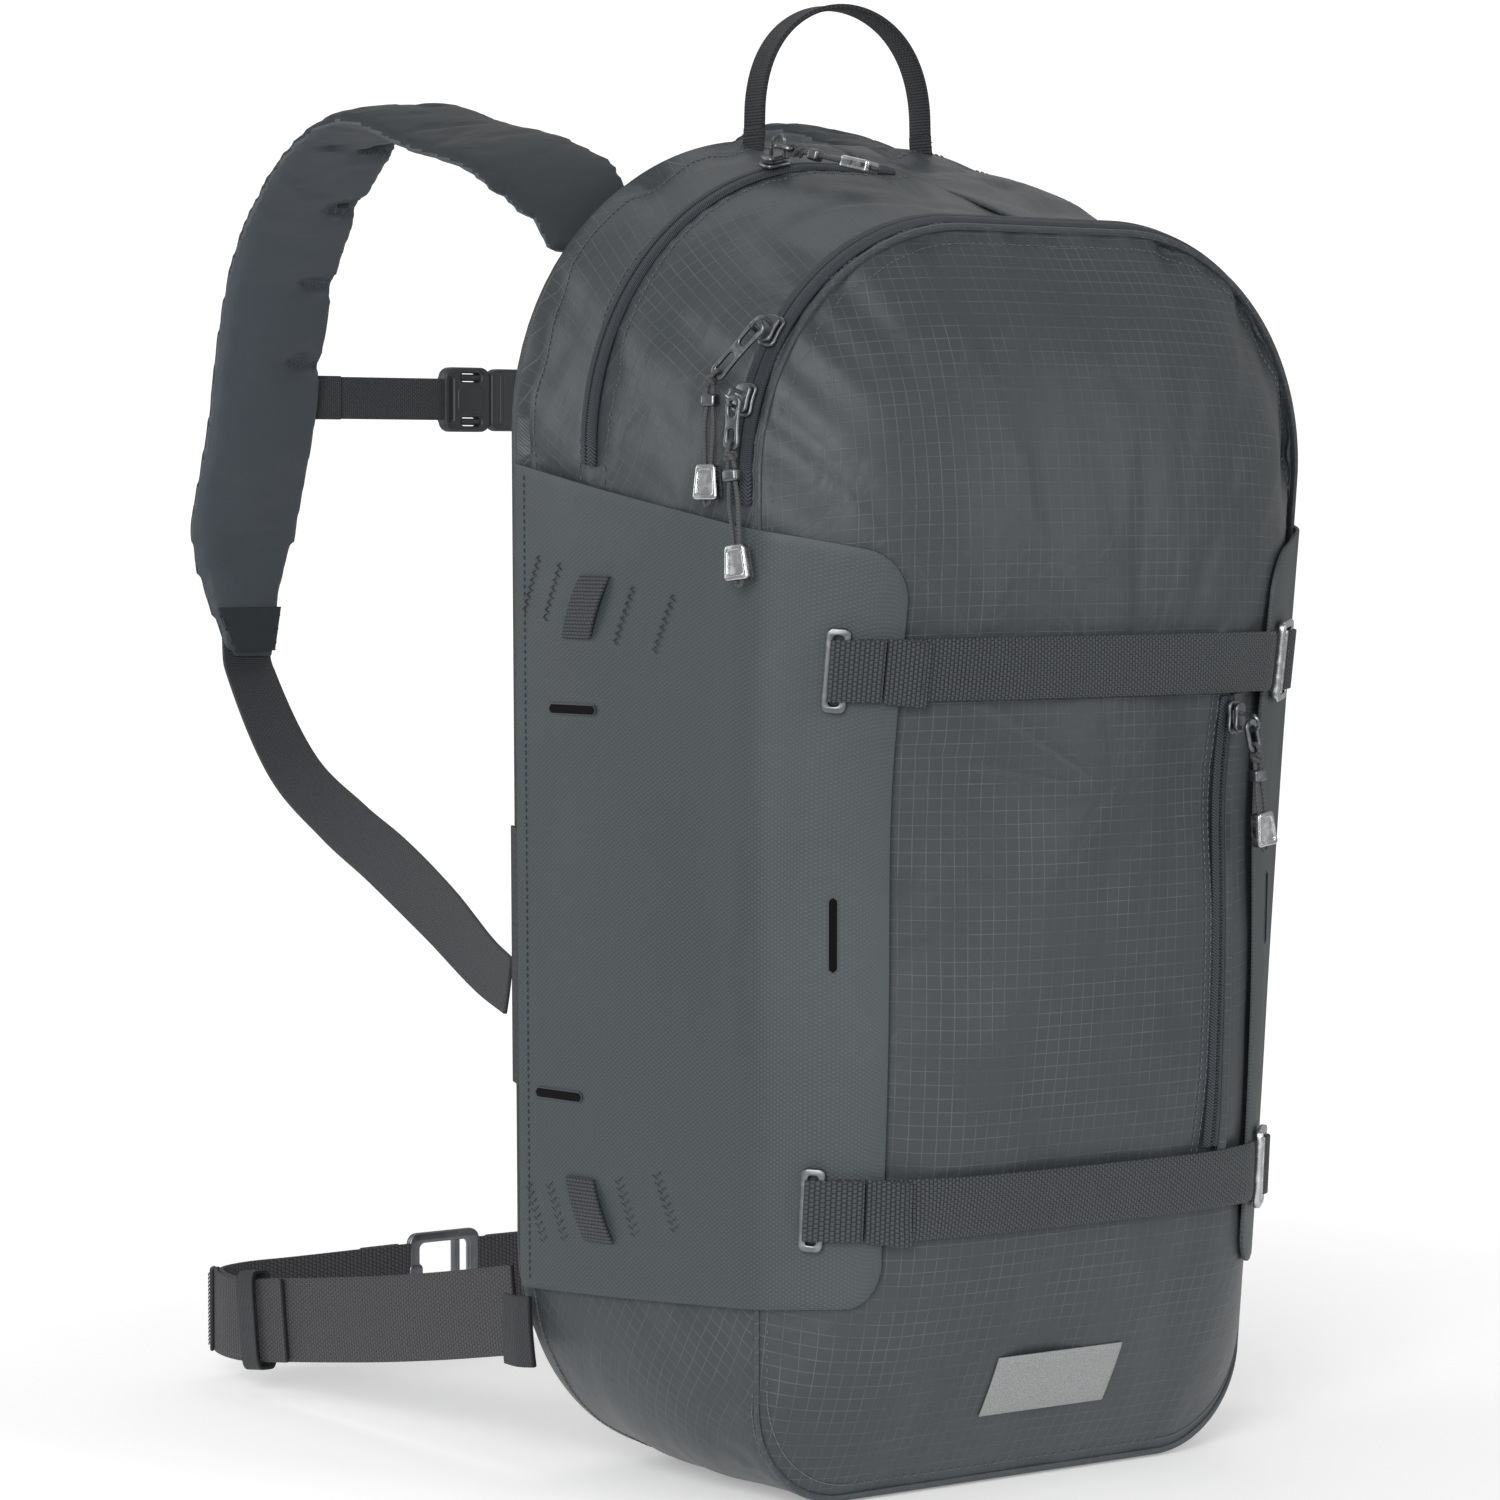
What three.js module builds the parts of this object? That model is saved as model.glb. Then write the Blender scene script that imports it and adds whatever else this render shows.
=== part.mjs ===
// A ski backpack with its straps done up, as an assembly of separate pieces.
// Millimetres, +Z up, +Y towards the wearer, -Y to the outer front, -X to the wearer's left.
// The pieces are laid out from the bottom of the back edge, and the whole pack is moved forward
// at the end, so that the origin is in the middle of the flat bottom.
import * as THREE from "three";
import { mergeVertices } from "three/addons/utils/BufferGeometryUtils.js";

// ---- driving dimensions ----------------------------------------------------------------------

const GAP = 0.4; // clearance between neighbouring pieces
const WALL = 2.5; // padded fabric wall of the bag
const BACK_OUTLINE = { high: 162, low: 160, top: 565, bottom: 0, topRadius: 126, bottomRadius: 95 };
const FRONT_OUTLINE = { high: 143, low: 129, top: 520, bottom: 0, topRadius: 100, bottomRadius: 44 };
const SIDE_SWELL = 5; // how far a side bulges between its back and its front edge
const DEPTH_LOW = 127; // depth of the side wall at the ground
const DEPTH_SLOPE = 0.053; // how much deeper the wall gets for each millimetre of height
const DOME = 56; // how far the front panel stands out before its seam
const DOME_HEIGHT = 290; // height of the dome's middle
const BASE_MIDDLE = 75; // from the back edge to the middle of the flat bottom

const FLAP_LIFT = 1;
const FLAP_THICK = 1.8;
const FLAP_EDGE = 95; // from the middle of the front to a flap's front edge
const STRAP_LIFT = FLAP_LIFT + FLAP_THICK + 0.6;
const WEBBING = 25;
const WEBBING_THICK = 2;
const UPPER_STRAP_HEIGHT = 342;
const LOWER_STRAP_HEIGHT = 126;
const LADDER_X = 108; // middle of the metal buckles at the right end of the two straps
const HOOK_X = -116; // middle of the metal hooks at their left end

const SHOULDER_X = 117; // middle of a shoulder strap
const SHOULDER_WIDTH = 58;
const SHOULDER_THICK = 12;
const HIP_WEBBING = 38;
const STERNUM_WEBBING = 20;
const STERNUM_Y = 284;
const STERNUM_Z = 457;
const REAR_ZIP_DEPTH = 0.38; // where the rear zip lies, as a share of the side wall's depth
const FRONT_ZIP_DEPTH = 0.955;
const POCKET_ZIP_X = 66;
const POCKET_RUN_GAP = 0.9;

const FABRIC = { color: 0x50565b, roughness: 0.85, metalness: 0 };
const COATED = { color: 0x5a6166, roughness: 0.7, metalness: 0 };
const STRAP_FABRIC = { color: 0x3c4147, roughness: 0.85, metalness: 0 };
const WEB = { color: 0x44484c, roughness: 0.8, metalness: 0 };
const CORD = { color: 0x3a3d40, roughness: 0.8, metalness: 0 };
const METAL = { color: 0xb9bcbf, roughness: 0.3, metalness: 1 };
const GUNMETAL = { color: 0x8c8f93, roughness: 0.35, metalness: 1 };
const PLASTIC = { color: 0x33363a, roughness: 0.5, metalness: 0 };
const FOAM = { color: 0x2c2f32, roughness: 0.9, metalness: 0 };

// ---- making closed solids --------------------------------------------------------------------

// Welds a geometry into one closed surface, drops the triangles that collapsed, faces it outwards.
function closed(geometry) {
  geometry.deleteAttribute("normal");
  geometry.deleteAttribute("uv");
  const welded = mergeVertices(geometry, 1e-3);
  const corner = [0, 1, 2].map(() => new THREE.Vector3());
  const kept = [];
  let volume = 0;
  const index = welded.index.array;
  for (let i = 0; i < index.length; i += 3) {
    const [a, b, c] = [index[i], index[i + 1], index[i + 2]];
    if (a === b || b === c || c === a) continue;
    [a, b, c].forEach((n, k) => corner[k].fromBufferAttribute(welded.attributes.position, n));
    volume += corner[0].dot(corner[1].clone().cross(corner[2]));
    kept.push([a, b, c]);
  }
  const facing = volume < 0 ? kept.map(([a, b, c]) => [a, c, b]) : kept;
  welded.setIndex(facing.flat());
  welded.computeVertexNormals();
  return welded;
}

// Moves every vertex of a geometry by a function, and closes the result.
function bent(geometry, place) {
  const position = geometry.getAttribute("position");
  const from = new THREE.Vector3();
  for (let i = 0; i < position.count; i++) {
    const to = place(from.fromBufferAttribute(position, i).clone());
    position.setXYZ(i, to.x, to.y, to.z);
  }
  return closed(geometry);
}

// A point of a surface, its direction along u, and the direction out of the bag there.
function site(surface, u, v) {
  const nudge = 1e-3;
  const at = surface(u, v);
  const along = surface(u + (u < 0.5 ? nudge : -nudge), v).sub(at).multiplyScalar(u < 0.5 ? 1 : -1);
  const over = surface(u, v + (v < 0.5 ? nudge : -nudge)).sub(at).multiplyScalar(v < 0.5 ? 1 : -1);
  const out = along.clone().cross(over).normalize();
  if (out.dot(at.clone().sub(BAG_MIDDLE)) < 0) out.negate();
  return { at, along: along.normalize(), out };
}

// A plate that follows a surface: surface(u, v) is a point, and the plate stands off it by lift.
function plate(surface, stepsU, stepsV, lift, thick) {
  return bent(new THREE.BoxGeometry(1, 1, 1, stepsU, stepsV, 1), (p) => {
    const { at, out } = site(surface, p.x + 0.5, p.y + 0.5);
    return at.addScaledVector(out, lift + (p.z + 0.5) * thick);
  });
}

// A flat strap along a curve. across(s) is the direction of its width at s, from 0 to 1.
function strap(curve, across, width, thick, steps) {
  return bent(new THREE.BoxGeometry(1, 1, 1, width.rounded ? 4 : 1, steps, 1), (p) => {
    const s = p.y + 0.5;
    const tangent = curve.getTangentAt(s);
    const wide = across(s).addScaledVector(tangent, -across(s).dot(tangent)).normalize();
    const out = wide.clone().cross(tangent);
    const size = width.rounded ? width.at(s) : width;
    const crown = width.rounded ? Math.sqrt(1 - 0.8 * (2 * p.x) ** 2) : 1;
    return curve.getPointAt(s).addScaledVector(wide, p.x * size).addScaledVector(out, p.z * thick * crown);
  });
}

const through = (points) =>
  new THREE.CatmullRomCurve3(points.map((p) => new THREE.Vector3(...p)), false, "centripetal");

function roundedRectangle(path, width, height, radius) {
  const x = width / 2;
  const y = height / 2;
  path.moveTo(-x + radius, -y);
  path.lineTo(x - radius, -y);
  path.absarc(x - radius, -y + radius, radius, -Math.PI / 2, 0);
  path.lineTo(x, y - radius);
  path.absarc(x - radius, y - radius, radius, 0, Math.PI / 2);
  path.lineTo(-x + radius, y);
  path.absarc(-x + radius, y - radius, radius, Math.PI / 2, Math.PI);
  path.lineTo(-x, -y + radius);
  path.absarc(-x + radius, -y + radius, radius, Math.PI, 1.5 * Math.PI);
  return path;
}

// A flat frame with a hole, centred on its thickness.
function frame(width, height, radius, hole, thick) {
  const shape = roundedRectangle(new THREE.Shape(), width, height, radius);
  const inner = roundedRectangle(new THREE.Path(), hole.width, hole.height, hole.radius);
  shape.holes.push(inner);
  const made = new THREE.ExtrudeGeometry(shape, { depth: thick, bevelEnabled: false, curveSegments: 1 });
  return made.translate(0, 0, -thick / 2);
}

const pack = new THREE.Group();
pack.position.y = BASE_MIDDLE;

const vector = (list) => new THREE.Vector3(...list);

function add(name, geometry, finish) {
  const mesh = new THREE.Mesh(geometry, new THREE.MeshStandardMaterial(finish));
  mesh.name = name;
  pack.add(mesh);
  return mesh;
}

// Adds a piece drawn about its own origin: its -Y goes along down, its +Z along out.
function stand(name, geometry, finish, at, down, out) {
  const y = down.clone().normalize().negate();
  const z = out.clone().addScaledVector(y, -out.dot(y)).normalize();
  const turn = new THREE.Matrix4().makeBasis(y.clone().cross(z), y, z).setPosition(at);
  add(name, closed(geometry), finish).applyMatrix4(turn);
}

// ---- the shape of the bag --------------------------------------------------------------------

const BAG_MIDDLE = new THREE.Vector3(0, -75, DOME_HEIGHT);
const STRETCHES = [0, 0.06, 0.34, 0.66, 0.92, 1]; // top, top corner, side, bottom corner, bottom

// A point of a rounded outline, f from 0 at the top middle round +X to 0.5 at the bottom, and back.
function outlinePoint(o, f) {
  const side = f <= 0.5 ? 1 : -1;
  const half = 2 * Math.min(f, 1 - f);
  const n = Math.min(4, STRETCHES.findLastIndex((start) => half >= start));
  const share = (half - STRETCHES[n]) / (STRETCHES[n + 1] - STRETCHES[n]);
  const turn = (share * Math.PI) / 2;
  const topX = o.high - o.topRadius;
  const bottomX = o.low - o.bottomRadius;
  const topZ = o.top - o.topRadius;
  const bottomZ = o.bottom + o.bottomRadius;
  const x = [
    topX * share,
    topX + o.topRadius * Math.sin(turn),
    THREE.MathUtils.lerp(o.high, o.low, share),
    bottomX + o.bottomRadius * Math.cos(turn),
    bottomX * (1 - share),
  ][n];
  const z = [
    o.top,
    topZ + o.topRadius * Math.cos(turn),
    THREE.MathUtils.lerp(topZ, bottomZ, share),
    bottomZ - o.bottomRadius * Math.sin(turn),
    o.bottom,
  ][n];
  return new THREE.Vector2(side * x, z);
}

function outlineAt(depth) {
  const mixed = {};
  for (const key in BACK_OUTLINE) {
    mixed[key] = THREE.MathUtils.lerp(BACK_OUTLINE[key], FRONT_OUTLINE[key], depth);
  }
  mixed.high += SIDE_SWELL * Math.sin(Math.PI * depth);
  mixed.low += SIDE_SWELL * Math.sin(Math.PI * depth);
  return mixed;
}

const wallDepth = (z) => DEPTH_LOW + DEPTH_SLOPE * z;

// A point on the side wall, depth 0 at the back edge and 1 at the front seam.
function wallPoint(f, depth) {
  const p = outlinePoint(outlineAt(depth), f);
  return new THREE.Vector3(p.x, -depth * wallDepth(p.y), p.y);
}

// The f between from and to where a falling measure of the half outline comes down to a value.
function search(measure, value) {
  let low = 0;
  let high = 0.5;
  for (let i = 0; i < 24; i++) {
    const middle = (low + high) / 2;
    if (measure(middle) > value) low = middle;
    else high = middle;
  }
  return low;
}

function halfWidth(z, depth) {
  const o = outlineAt(depth);
  return outlinePoint(o, search((f) => outlinePoint(o, f).y, z)).x;
}

// How far out a point of the front panel is, from 0 at the dome's middle to 1 at its seam.
function reachOf(x, z) {
  const rise = (p) => Math.atan2(p.y - DOME_HEIGHT, Math.abs(p.x));
  const angle = Math.atan2(z - DOME_HEIGHT, Math.abs(x));
  const edge = outlinePoint(FRONT_OUTLINE, search((f) => rise(outlinePoint(FRONT_OUTLINE, f)), angle));
  return Math.min(1, Math.hypot(x, z - DOME_HEIGHT) / Math.hypot(edge.x, edge.y - DOME_HEIGHT));
}

function frontPoint(x, z) {
  const steep = Math.sin(Math.atan2(z - DOME_HEIGHT, x)) ** 2; // 0 across the dome, 1 up and down
  const rise = DOME * (1 - reachOf(x, z) ** (2.3 + 1.5 * steep));
  return new THREE.Vector3(x, -wallDepth(z) - rise, z);
}

// Round the bag at one height: s from 0 near the back edge to 1 at edgeX on the front panel.
function roundPoint(side, z, s, start, edgeX) {
  const CORNER = 0.7; // the share of the way that lies on the side wall
  if (s < CORNER) {
    const depth = THREE.MathUtils.lerp(start, 1, s / CORNER);
    return new THREE.Vector3(side * halfWidth(z, depth), -depth * wallDepth(z), z);
  }
  const x = THREE.MathUtils.lerp(halfWidth(z, 1), edgeX, (s - CORNER) / (1 - CORNER));
  return frontPoint(side * x, z);
}

// ---- bag: shell, front panel and what is inside ----------------------------------------------

// A body of stacked rings that starts and ends in a point.
function rings(list, around) {
  const box = new THREE.CylinderGeometry(1, 1, 1, around, list.length - 1, true);
  return bent(box, (p) => {
    const f = (Math.atan2(p.x, p.z) / (2 * Math.PI) + 1) % 1;
    return list[Math.round((0.5 - p.y) * (list.length - 1))](f);
  });
}

const shrunk = (p, share) => new THREE.Vector3(p.x * share, p.y, DOME_HEIGHT + (p.z - DOME_HEIGHT) * share);

function inset(p, distance) {
  const reach = Math.hypot(p.x, p.z - DOME_HEIGHT);
  return shrunk(p, (reach - distance) / reach);
}

function bagShell() {
  const outer = [0.07, 0.36, 0.68, 1].map((depth) => (f) => wallPoint(f, depth));
  const inner = [1, 0.5, 0.07].map((depth) => (f) => inset(wallPoint(f, depth), WALL));
  return rings(
    [
      () => new THREE.Vector3(0, 0, DOME_HEIGHT),
      (f) => inset(wallPoint(f, 0), 9),
      ...outer,
      ...inner,
      (f) => inset(wallPoint(f, 0), 12).setY(-WALL),
      () => new THREE.Vector3(0, -WALL, DOME_HEIGHT),
    ],
    56,
  );
}

function frontPanel() {
  const domed = (f, share, drop) => {
    const p = shrunk(wallPoint(f, 1), share);
    const q = frontPoint(p.x, p.z);
    return q.setY(q.y - GAP + drop);
  };
  const shares = [1, 0.88, 0.7, 0.4];
  return rings(
    [
      () => new THREE.Vector3(0, frontPoint(0, DOME_HEIGHT).y - GAP, DOME_HEIGHT),
      ...shares.toReversed().map((share) => (f) => domed(f, share, 0)),
      ...shares.map((share) => (f) => domed(f, share * 0.985, share === 1 ? 0.2 : WALL)),
      () => new THREE.Vector3(0, frontPoint(0, DOME_HEIGHT).y + WALL, DOME_HEIGHT),
    ],
    56,
  );
}

add("bag_shell", bagShell(), FABRIC);
add("front_panel", frontPanel(), FABRIC);

function board(width, low, high, y, thick, radius) {
  const shape = roundedRectangle(new THREE.Shape(), width, high - low, radius);
  const made = new THREE.ExtrudeGeometry(shape, { depth: thick, bevelEnabled: false, curveSegments: 6 });
  return closed(made.rotateX(Math.PI / 2).translate(0, y + thick, (low + high) / 2));
}

add("frame_sheet", board(250, 40, 500, -4.5, 1.6, 60), PLASTIC);
add("back_pad", board(270, 35, 525, 0.4, 13, 70), FOAM);
add("divider", board(290, 60, 440, -52, 1.5, 30), FABRIC);
add("tool_sleeve", board(190, 60, 360, -59, 5, 15), FABRIC);

// ---- side flaps, label and the webbing loops on the flaps ------------------------------------

function flapPoint(side, s, rise) {
  const low = 80 + 6 * s;
  const high = 424 - 38 * s;
  return roundPoint(side, THREE.MathUtils.lerp(low, high, rise), s, 0.06, FLAP_EDGE);
}

for (const [name, side] of [["left", -1], ["right", 1]]) {
  add(`${name}_flap`, plate((s, rise) => flapPoint(side, s, rise), 10, 8, FLAP_LIFT, FLAP_THICK), COATED);
  for (const [level, z] of [["upper", 365], ["lower", 117]]) {
    const loop = (u, v) => roundPoint(side, z + 26 * (v - 0.5), 0.2 + 0.09 * u, 0.06, FLAP_EDGE);
    add(`${name}_${level}_loop`, plate(loop, 2, 2, STRAP_LIFT, WEBBING_THICK), WEB);
  }
}
add("front_label", plate((u, v) => frontPoint(4 + 66 * (u - 0.5), 32 + 26 * v), 3, 2, 0.5, 0.8), COATED);

// ---- zips ------------------------------------------------------------------------------------

const FRONT_ZIP_END = 0.176; // how far the front zip's coil goes round from the top, as f
const frontZip = (u, v) => {
  const f = THREE.MathUtils.lerp(-FRONT_ZIP_END, FRONT_ZIP_END, u);
  return wallPoint((f + 1) % 1, FRONT_ZIP_DEPTH + 0.06 * (v - 0.5));
};
const rearZip = (u, v) => wallPoint(THREE.MathUtils.lerp(0.995, 0.826, u), REAR_ZIP_DEPTH + 0.05 * (v - 0.5));
const pocketZip = (u, v) => frontPoint(POCKET_ZIP_X + 7 * (u - 0.5), 140 + 188 * v);

const ZIP_LIFT = 0.8;
const ZIP_THICK = 1.2;
add("front_zip", plate(frontZip, 36, 1, ZIP_LIFT, ZIP_THICK), WEB);
add("rear_zip", plate(rearZip, 16, 1, ZIP_LIFT, ZIP_THICK), WEB);
add("pocket_zip", plate(pocketZip, 1, 10, ZIP_LIFT, ZIP_THICK), WEB);

// A straight hollow sleeve, such as a crimp or a tag, with a flat hole along its Y axis.
function sleeve(width, length, thick, flare) {
  const made = frame(width, thick, thick * 0.3, { width: 5.4, height: 2.6, radius: 1.2 }, length);
  return bent(made.rotateX(Math.PI / 2), (p) => p.setX(p.x * (1 - (flare * p.y) / length)));
}

// A doubled cord that leaves its knot, goes down to a loop of its own width, and comes back up.
function doubledCord(length) {
  const strand = 1.4;
  const loop = [0, 1, 2, 3, 4].map((n) => {
    const turn = (n * Math.PI) / 4;
    return [strand * Math.cos(turn), -length + strand - strand * Math.sin(turn), 0];
  });
  const down = [0, 1, 2, 3, 4, 5, 6].map((n) => [strand, (-n * (length - strand)) / 7, 0]);
  const path = through([...down, ...loop, ...down.map(([x, y, z]) => [-x, y, z]).reverse()]);
  const section = new THREE.Shape().absarc(0, 0, 0.9, 0, 2 * Math.PI);
  return new THREE.ExtrudeGeometry(section, {
    steps: Math.round(path.getLength() / 4.5),
    extrudePath: path,
    curveSegments: 4,
    bevelEnabled: false,
  });
}

const SLIDER_THICK = 5;

// A slider at a place of its zip, the pull on its bridge, and the cord, crimp and tag on the pull.
// down is the way the pull lies, and hang the way the cord goes on from the end of the pull.
function pullSet(name, place, { down, out, hang, pullLength, cordLength }) {
  const lift = ZIP_LIFT + ZIP_THICK + GAP + SLIDER_THICK / 2;
  const middle = place.at.clone().addScaledVector(place.out, lift);
  stand(`${name}_slider`, new THREE.BoxGeometry(9, 14, SLIDER_THICK), GUNMETAL, middle, place.along, place.out);
  const pivot = middle.clone().addScaledVector(place.out, SLIDER_THICK / 2 + 3.6);
  const eye = { width: 3.4, height: pullLength - 5, radius: 1.6 };
  const pull = frame(7.5, pullLength, 3, eye, 1.8).translate(0, -pullLength / 2, 0);
  stand(`${name}_pull`, pull, GUNMETAL, pivot, vector(down), vector(out));
  const knot = pivot.clone().addScaledVector(vector(down).normalize(), pullLength + 2.2);
  const onCord = (distance) => knot.clone().addScaledVector(vector(hang).normalize(), distance);
  const set = [
    ["cord", doubledCord(cordLength), CORD, 0],
    ["crimp", sleeve(7.5, 5, 5, 0), GUNMETAL, 5],
    ["tag", sleeve(10.5, 14, 5, 0.25), METAL, cordLength - 15],
  ];
  for (const [piece, geometry, finish, distance] of set) {
    stand(`${name}_${piece}`, geometry, finish, onCord(distance), vector(hang), vector(out));
  }
}

const onWall = (f, depth) => site((u, v) => wallPoint(f - 0.05 * (u - 0.25), depth + 0.1 * (v - 0.25)), 0.25, 0.25);
const onFront = (x, z) => site((u, v) => frontPoint(x + v - 0.25, z - u + 0.25), 0.25, 0.25);

pullSet("front_upper", onWall(0.8787, FRONT_ZIP_DEPTH), {
  down: [-11, 19, -23],
  out: [-1, -0.3, 0.1],
  hang: [-0.05, -0.02, -1],
  pullLength: 30,
  cordLength: 48,
});
pullSet("front_lower", onWall(0.8535, FRONT_ZIP_DEPTH), {
  down: [-1, 1, -24],
  out: [-1, -0.3, 0],
  hang: [0, -0.12, -1],
  pullLength: 22,
  cordLength: 50,
});
// The pocket's slider runs straight down, a little off the tape, so that it clears the tape's bow.
const pocketStart = onFront(POCKET_ZIP_X, 320);
pocketStart.along.set(0, 0.035, -1);
pocketStart.at.addScaledVector(pocketStart.out, POCKET_RUN_GAP);
pullSet("pocket", pocketStart, {
  down: [3, 0, -12],
  out: [0.1, -1, 0],
  hang: [0.13, 0, -1],
  pullLength: 14,
  cordLength: 38,
});
pullSet("rear", onWall(0.9517, REAR_ZIP_DEPTH), {
  down: [4, -10, -2.6],
  out: [0, 0.25, 1],
  hang: [8, -16, -4.2],
  pullLength: 10,
  cordLength: 36,
});

// ---- compression straps ----------------------------------------------------------------------

for (const [name, z] of [["upper", UPPER_STRAP_HEIGHT], ["lower", LOWER_STRAP_HEIGHT]]) {
  const band = (u, v) => frontPoint(THREE.MathUtils.lerp(HOOK_X + 7, LADDER_X - 11, u), z + WEBBING * (v - 0.5));
  add(`${name}_strap`, plate(band, 18, 2, STRAP_LIFT, WEBBING_THICK), WEB);
  for (const [piece, x, width, opening] of [["hook", HOOK_X, 10, 4], ["ladder", LADDER_X, 18, 10]]) {
    const { at, along, out } = onFront(x, z);
    const made = frame(width, 34, 3, { width: opening, height: 28, radius: 1.2 }, 3);
    stand(`${name}_${piece}`, made, METAL, at.addScaledVector(out, STRAP_LIFT + 2.2), along, out);
  }
}

// ---- haul loop -------------------------------------------------------------------------------

const LOOP_FOOT = 46;
const LOOP_RISE = 54;
const loopArch = through(
  [0, 1, 2, 3, 4, 5, 6, 7, 8].map((n) => {
    const turn = (n * Math.PI) / 8;
    return [-LOOP_FOOT * Math.cos(turn), -14, BACK_OUTLINE.top + 3 + LOOP_RISE * Math.sin(turn) ** 0.8];
  }),
);
add("haul_loop", strap(loopArch, () => new THREE.Vector3(0, 1, 0), 13, 2.4, 20), WEB);

// ---- shoulder straps, their lower webbing and the sternum strap ------------------------------

const SHOULDER_ROUTE = [
  [8, 546], [57, 554], [105, 567], [160, 580], [200, 570], [231, 548],
  [253, 522], [268, 486], [278, 444], [298, 381], [290, 335],
];
const LOWER_ROUTE = [
  [118, 289, 331], [124, 240, 287], [132, 182, 264], [139, 135, 250], [149, 75, 230], [157, 28, 212], [161, 4, 205],
];

for (const [name, side] of [["left", -1], ["right", 1]]) {
  const route = through(SHOULDER_ROUTE.map(([y, z]) => [side * SHOULDER_X, y, z]));
  const width = { rounded: true, at: (s) => SHOULDER_WIDTH * (s < 0.88 ? 1 : 1 - (s - 0.88) * 5) };
  const across = () => new THREE.Vector3(1, 0, 0);
  add(`${name}_shoulder_strap`, strap(route, across, width, SHOULDER_THICK, 26), STRAP_FABRIC);
  const lower = through(LOWER_ROUTE.map(([x, y, z]) => [side * x, y, z]));
  const turning = (s) => {
    const turn = (s * Math.PI) / 2;
    return new THREE.Vector3(Math.cos(turn), 0, -side * Math.sin(turn));
  };
  add(`${name}_lower_webbing`, strap(lower, turning, WEBBING, WEBBING_THICK, 14), WEB);
}

const upright = () => new THREE.Vector3(0, 0, 1);
const SOCKET_X = -14; // left end of the sternum buckle
const SOCKET_LENGTH = 26;
const PLUG_LENGTH = 20;
const sternum = (from, to) =>
  strap(through([[from, STERNUM_Y, STERNUM_Z], [to, STERNUM_Y, STERNUM_Z]]), upright, STERNUM_WEBBING, 2, 4);
const clip = (length, x) => closed(new THREE.BoxGeometry(length, 8, 31).translate(x, STERNUM_Y, STERNUM_Z));
const socketEnd = SOCKET_X + SOCKET_LENGTH;
const plugEnd = socketEnd + GAP + PLUG_LENGTH;
add("sternum_left", sternum(-86, SOCKET_X - GAP), WEB);
add("sternum_socket", clip(SOCKET_LENGTH, SOCKET_X + SOCKET_LENGTH / 2), PLASTIC);
add("sternum_plug", clip(PLUG_LENGTH, socketEnd + GAP + PLUG_LENGTH / 2), PLASTIC);
add("sternum_right", sternum(plugEnd + GAP, 86), WEB);

// ---- hip belt --------------------------------------------------------------------------------

const HIP_SIDE = 154;
const HIP_FRONT = 285;
const HIP_HOOK_X = -14; // middle of the belt's metal hook
const HIP_HOOK_HALF = 20;
const HIP_TURN = 26;

// Half of the belt: from the bag's lower corner back to the turn, then across to the hook.
function hipHalf(side, end) {
  const turned = HIP_SIDE - 4;
  return through([
    [side * HIP_SIDE, 8, 67],
    [side * HIP_SIDE, 75, 55],
    [side * (HIP_SIDE - 1), 145, 44],
    [side * (HIP_SIDE - 2), 235, 32],
    [side * turned, HIP_FRONT - HIP_TURN, 31],
    [side * (turned - HIP_TURN * 0.3), HIP_FRONT - HIP_TURN * 0.3, 31],
    [side * (turned - HIP_TURN), HIP_FRONT, 31],
    [side * (turned - 2 * HIP_TURN), HIP_FRONT, 31],
    [end, HIP_FRONT, 31],
  ]);
}
const hookLeft = HIP_HOOK_X - HIP_HOOK_HALF - GAP;
const hookRight = HIP_HOOK_X + HIP_HOOK_HALF + GAP;
add("hip_belt_left", strap(hipHalf(-1, hookLeft), upright, HIP_WEBBING, 2.2, 34), WEB);
add("hip_belt_right", strap(hipHalf(1, hookRight), upright, HIP_WEBBING, 2.2, 34), WEB);
const hipHook = frame(2 * HIP_HOOK_HALF, 44, 5, { width: 28, height: 34, radius: 3 }, 4);
stand("hip_hook", hipHook, GUNMETAL, vector([HIP_HOOK_X, HIP_FRONT, 33]), vector([0, 0, -1]), vector([0, -1, 0]));
const keeperRing = frame(9, HIP_WEBBING + 8, 1.5, { width: 6, height: HIP_WEBBING + 5, radius: 0.8 }, 14);
stand("hip_keeper", keeperRing, WEB, vector([-HIP_SIDE + 2, 225, 33.2]), vector([0, -0.13, -1]), vector([0, 1, -0.13]));
for (const [name, side] of [["left", -1], ["right", 1]]) {
  const tab = new THREE.BoxGeometry(3, 20, 30);
  stand(`hip_tab_${name}`, tab, WEB, vector([side * (HIP_SIDE + 10), -7, 61]), vector([0, -1, 0]), vector([0, 0, 1]));
}

export default pack;
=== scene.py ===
# %% [markdown]
# # A ski backpack
# The pack is built round a fixed frame: every moving part already has its size, place and joint there.
# This lesson gives each part its cloth, foam, webbing, cord and metal.
# Lengths are in millimetres while a piece is drawn, measured from the bottom of the bag's back edge:
# X across the bag with -X on the wearer's left, Y towards the wearer and Z up. The last step of each
# piece turns it into metres and moves it into the frame.

# %% Load the frame
import math
import bpy
import bmesh
from mathutils import Matrix, Vector, noise


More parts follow.
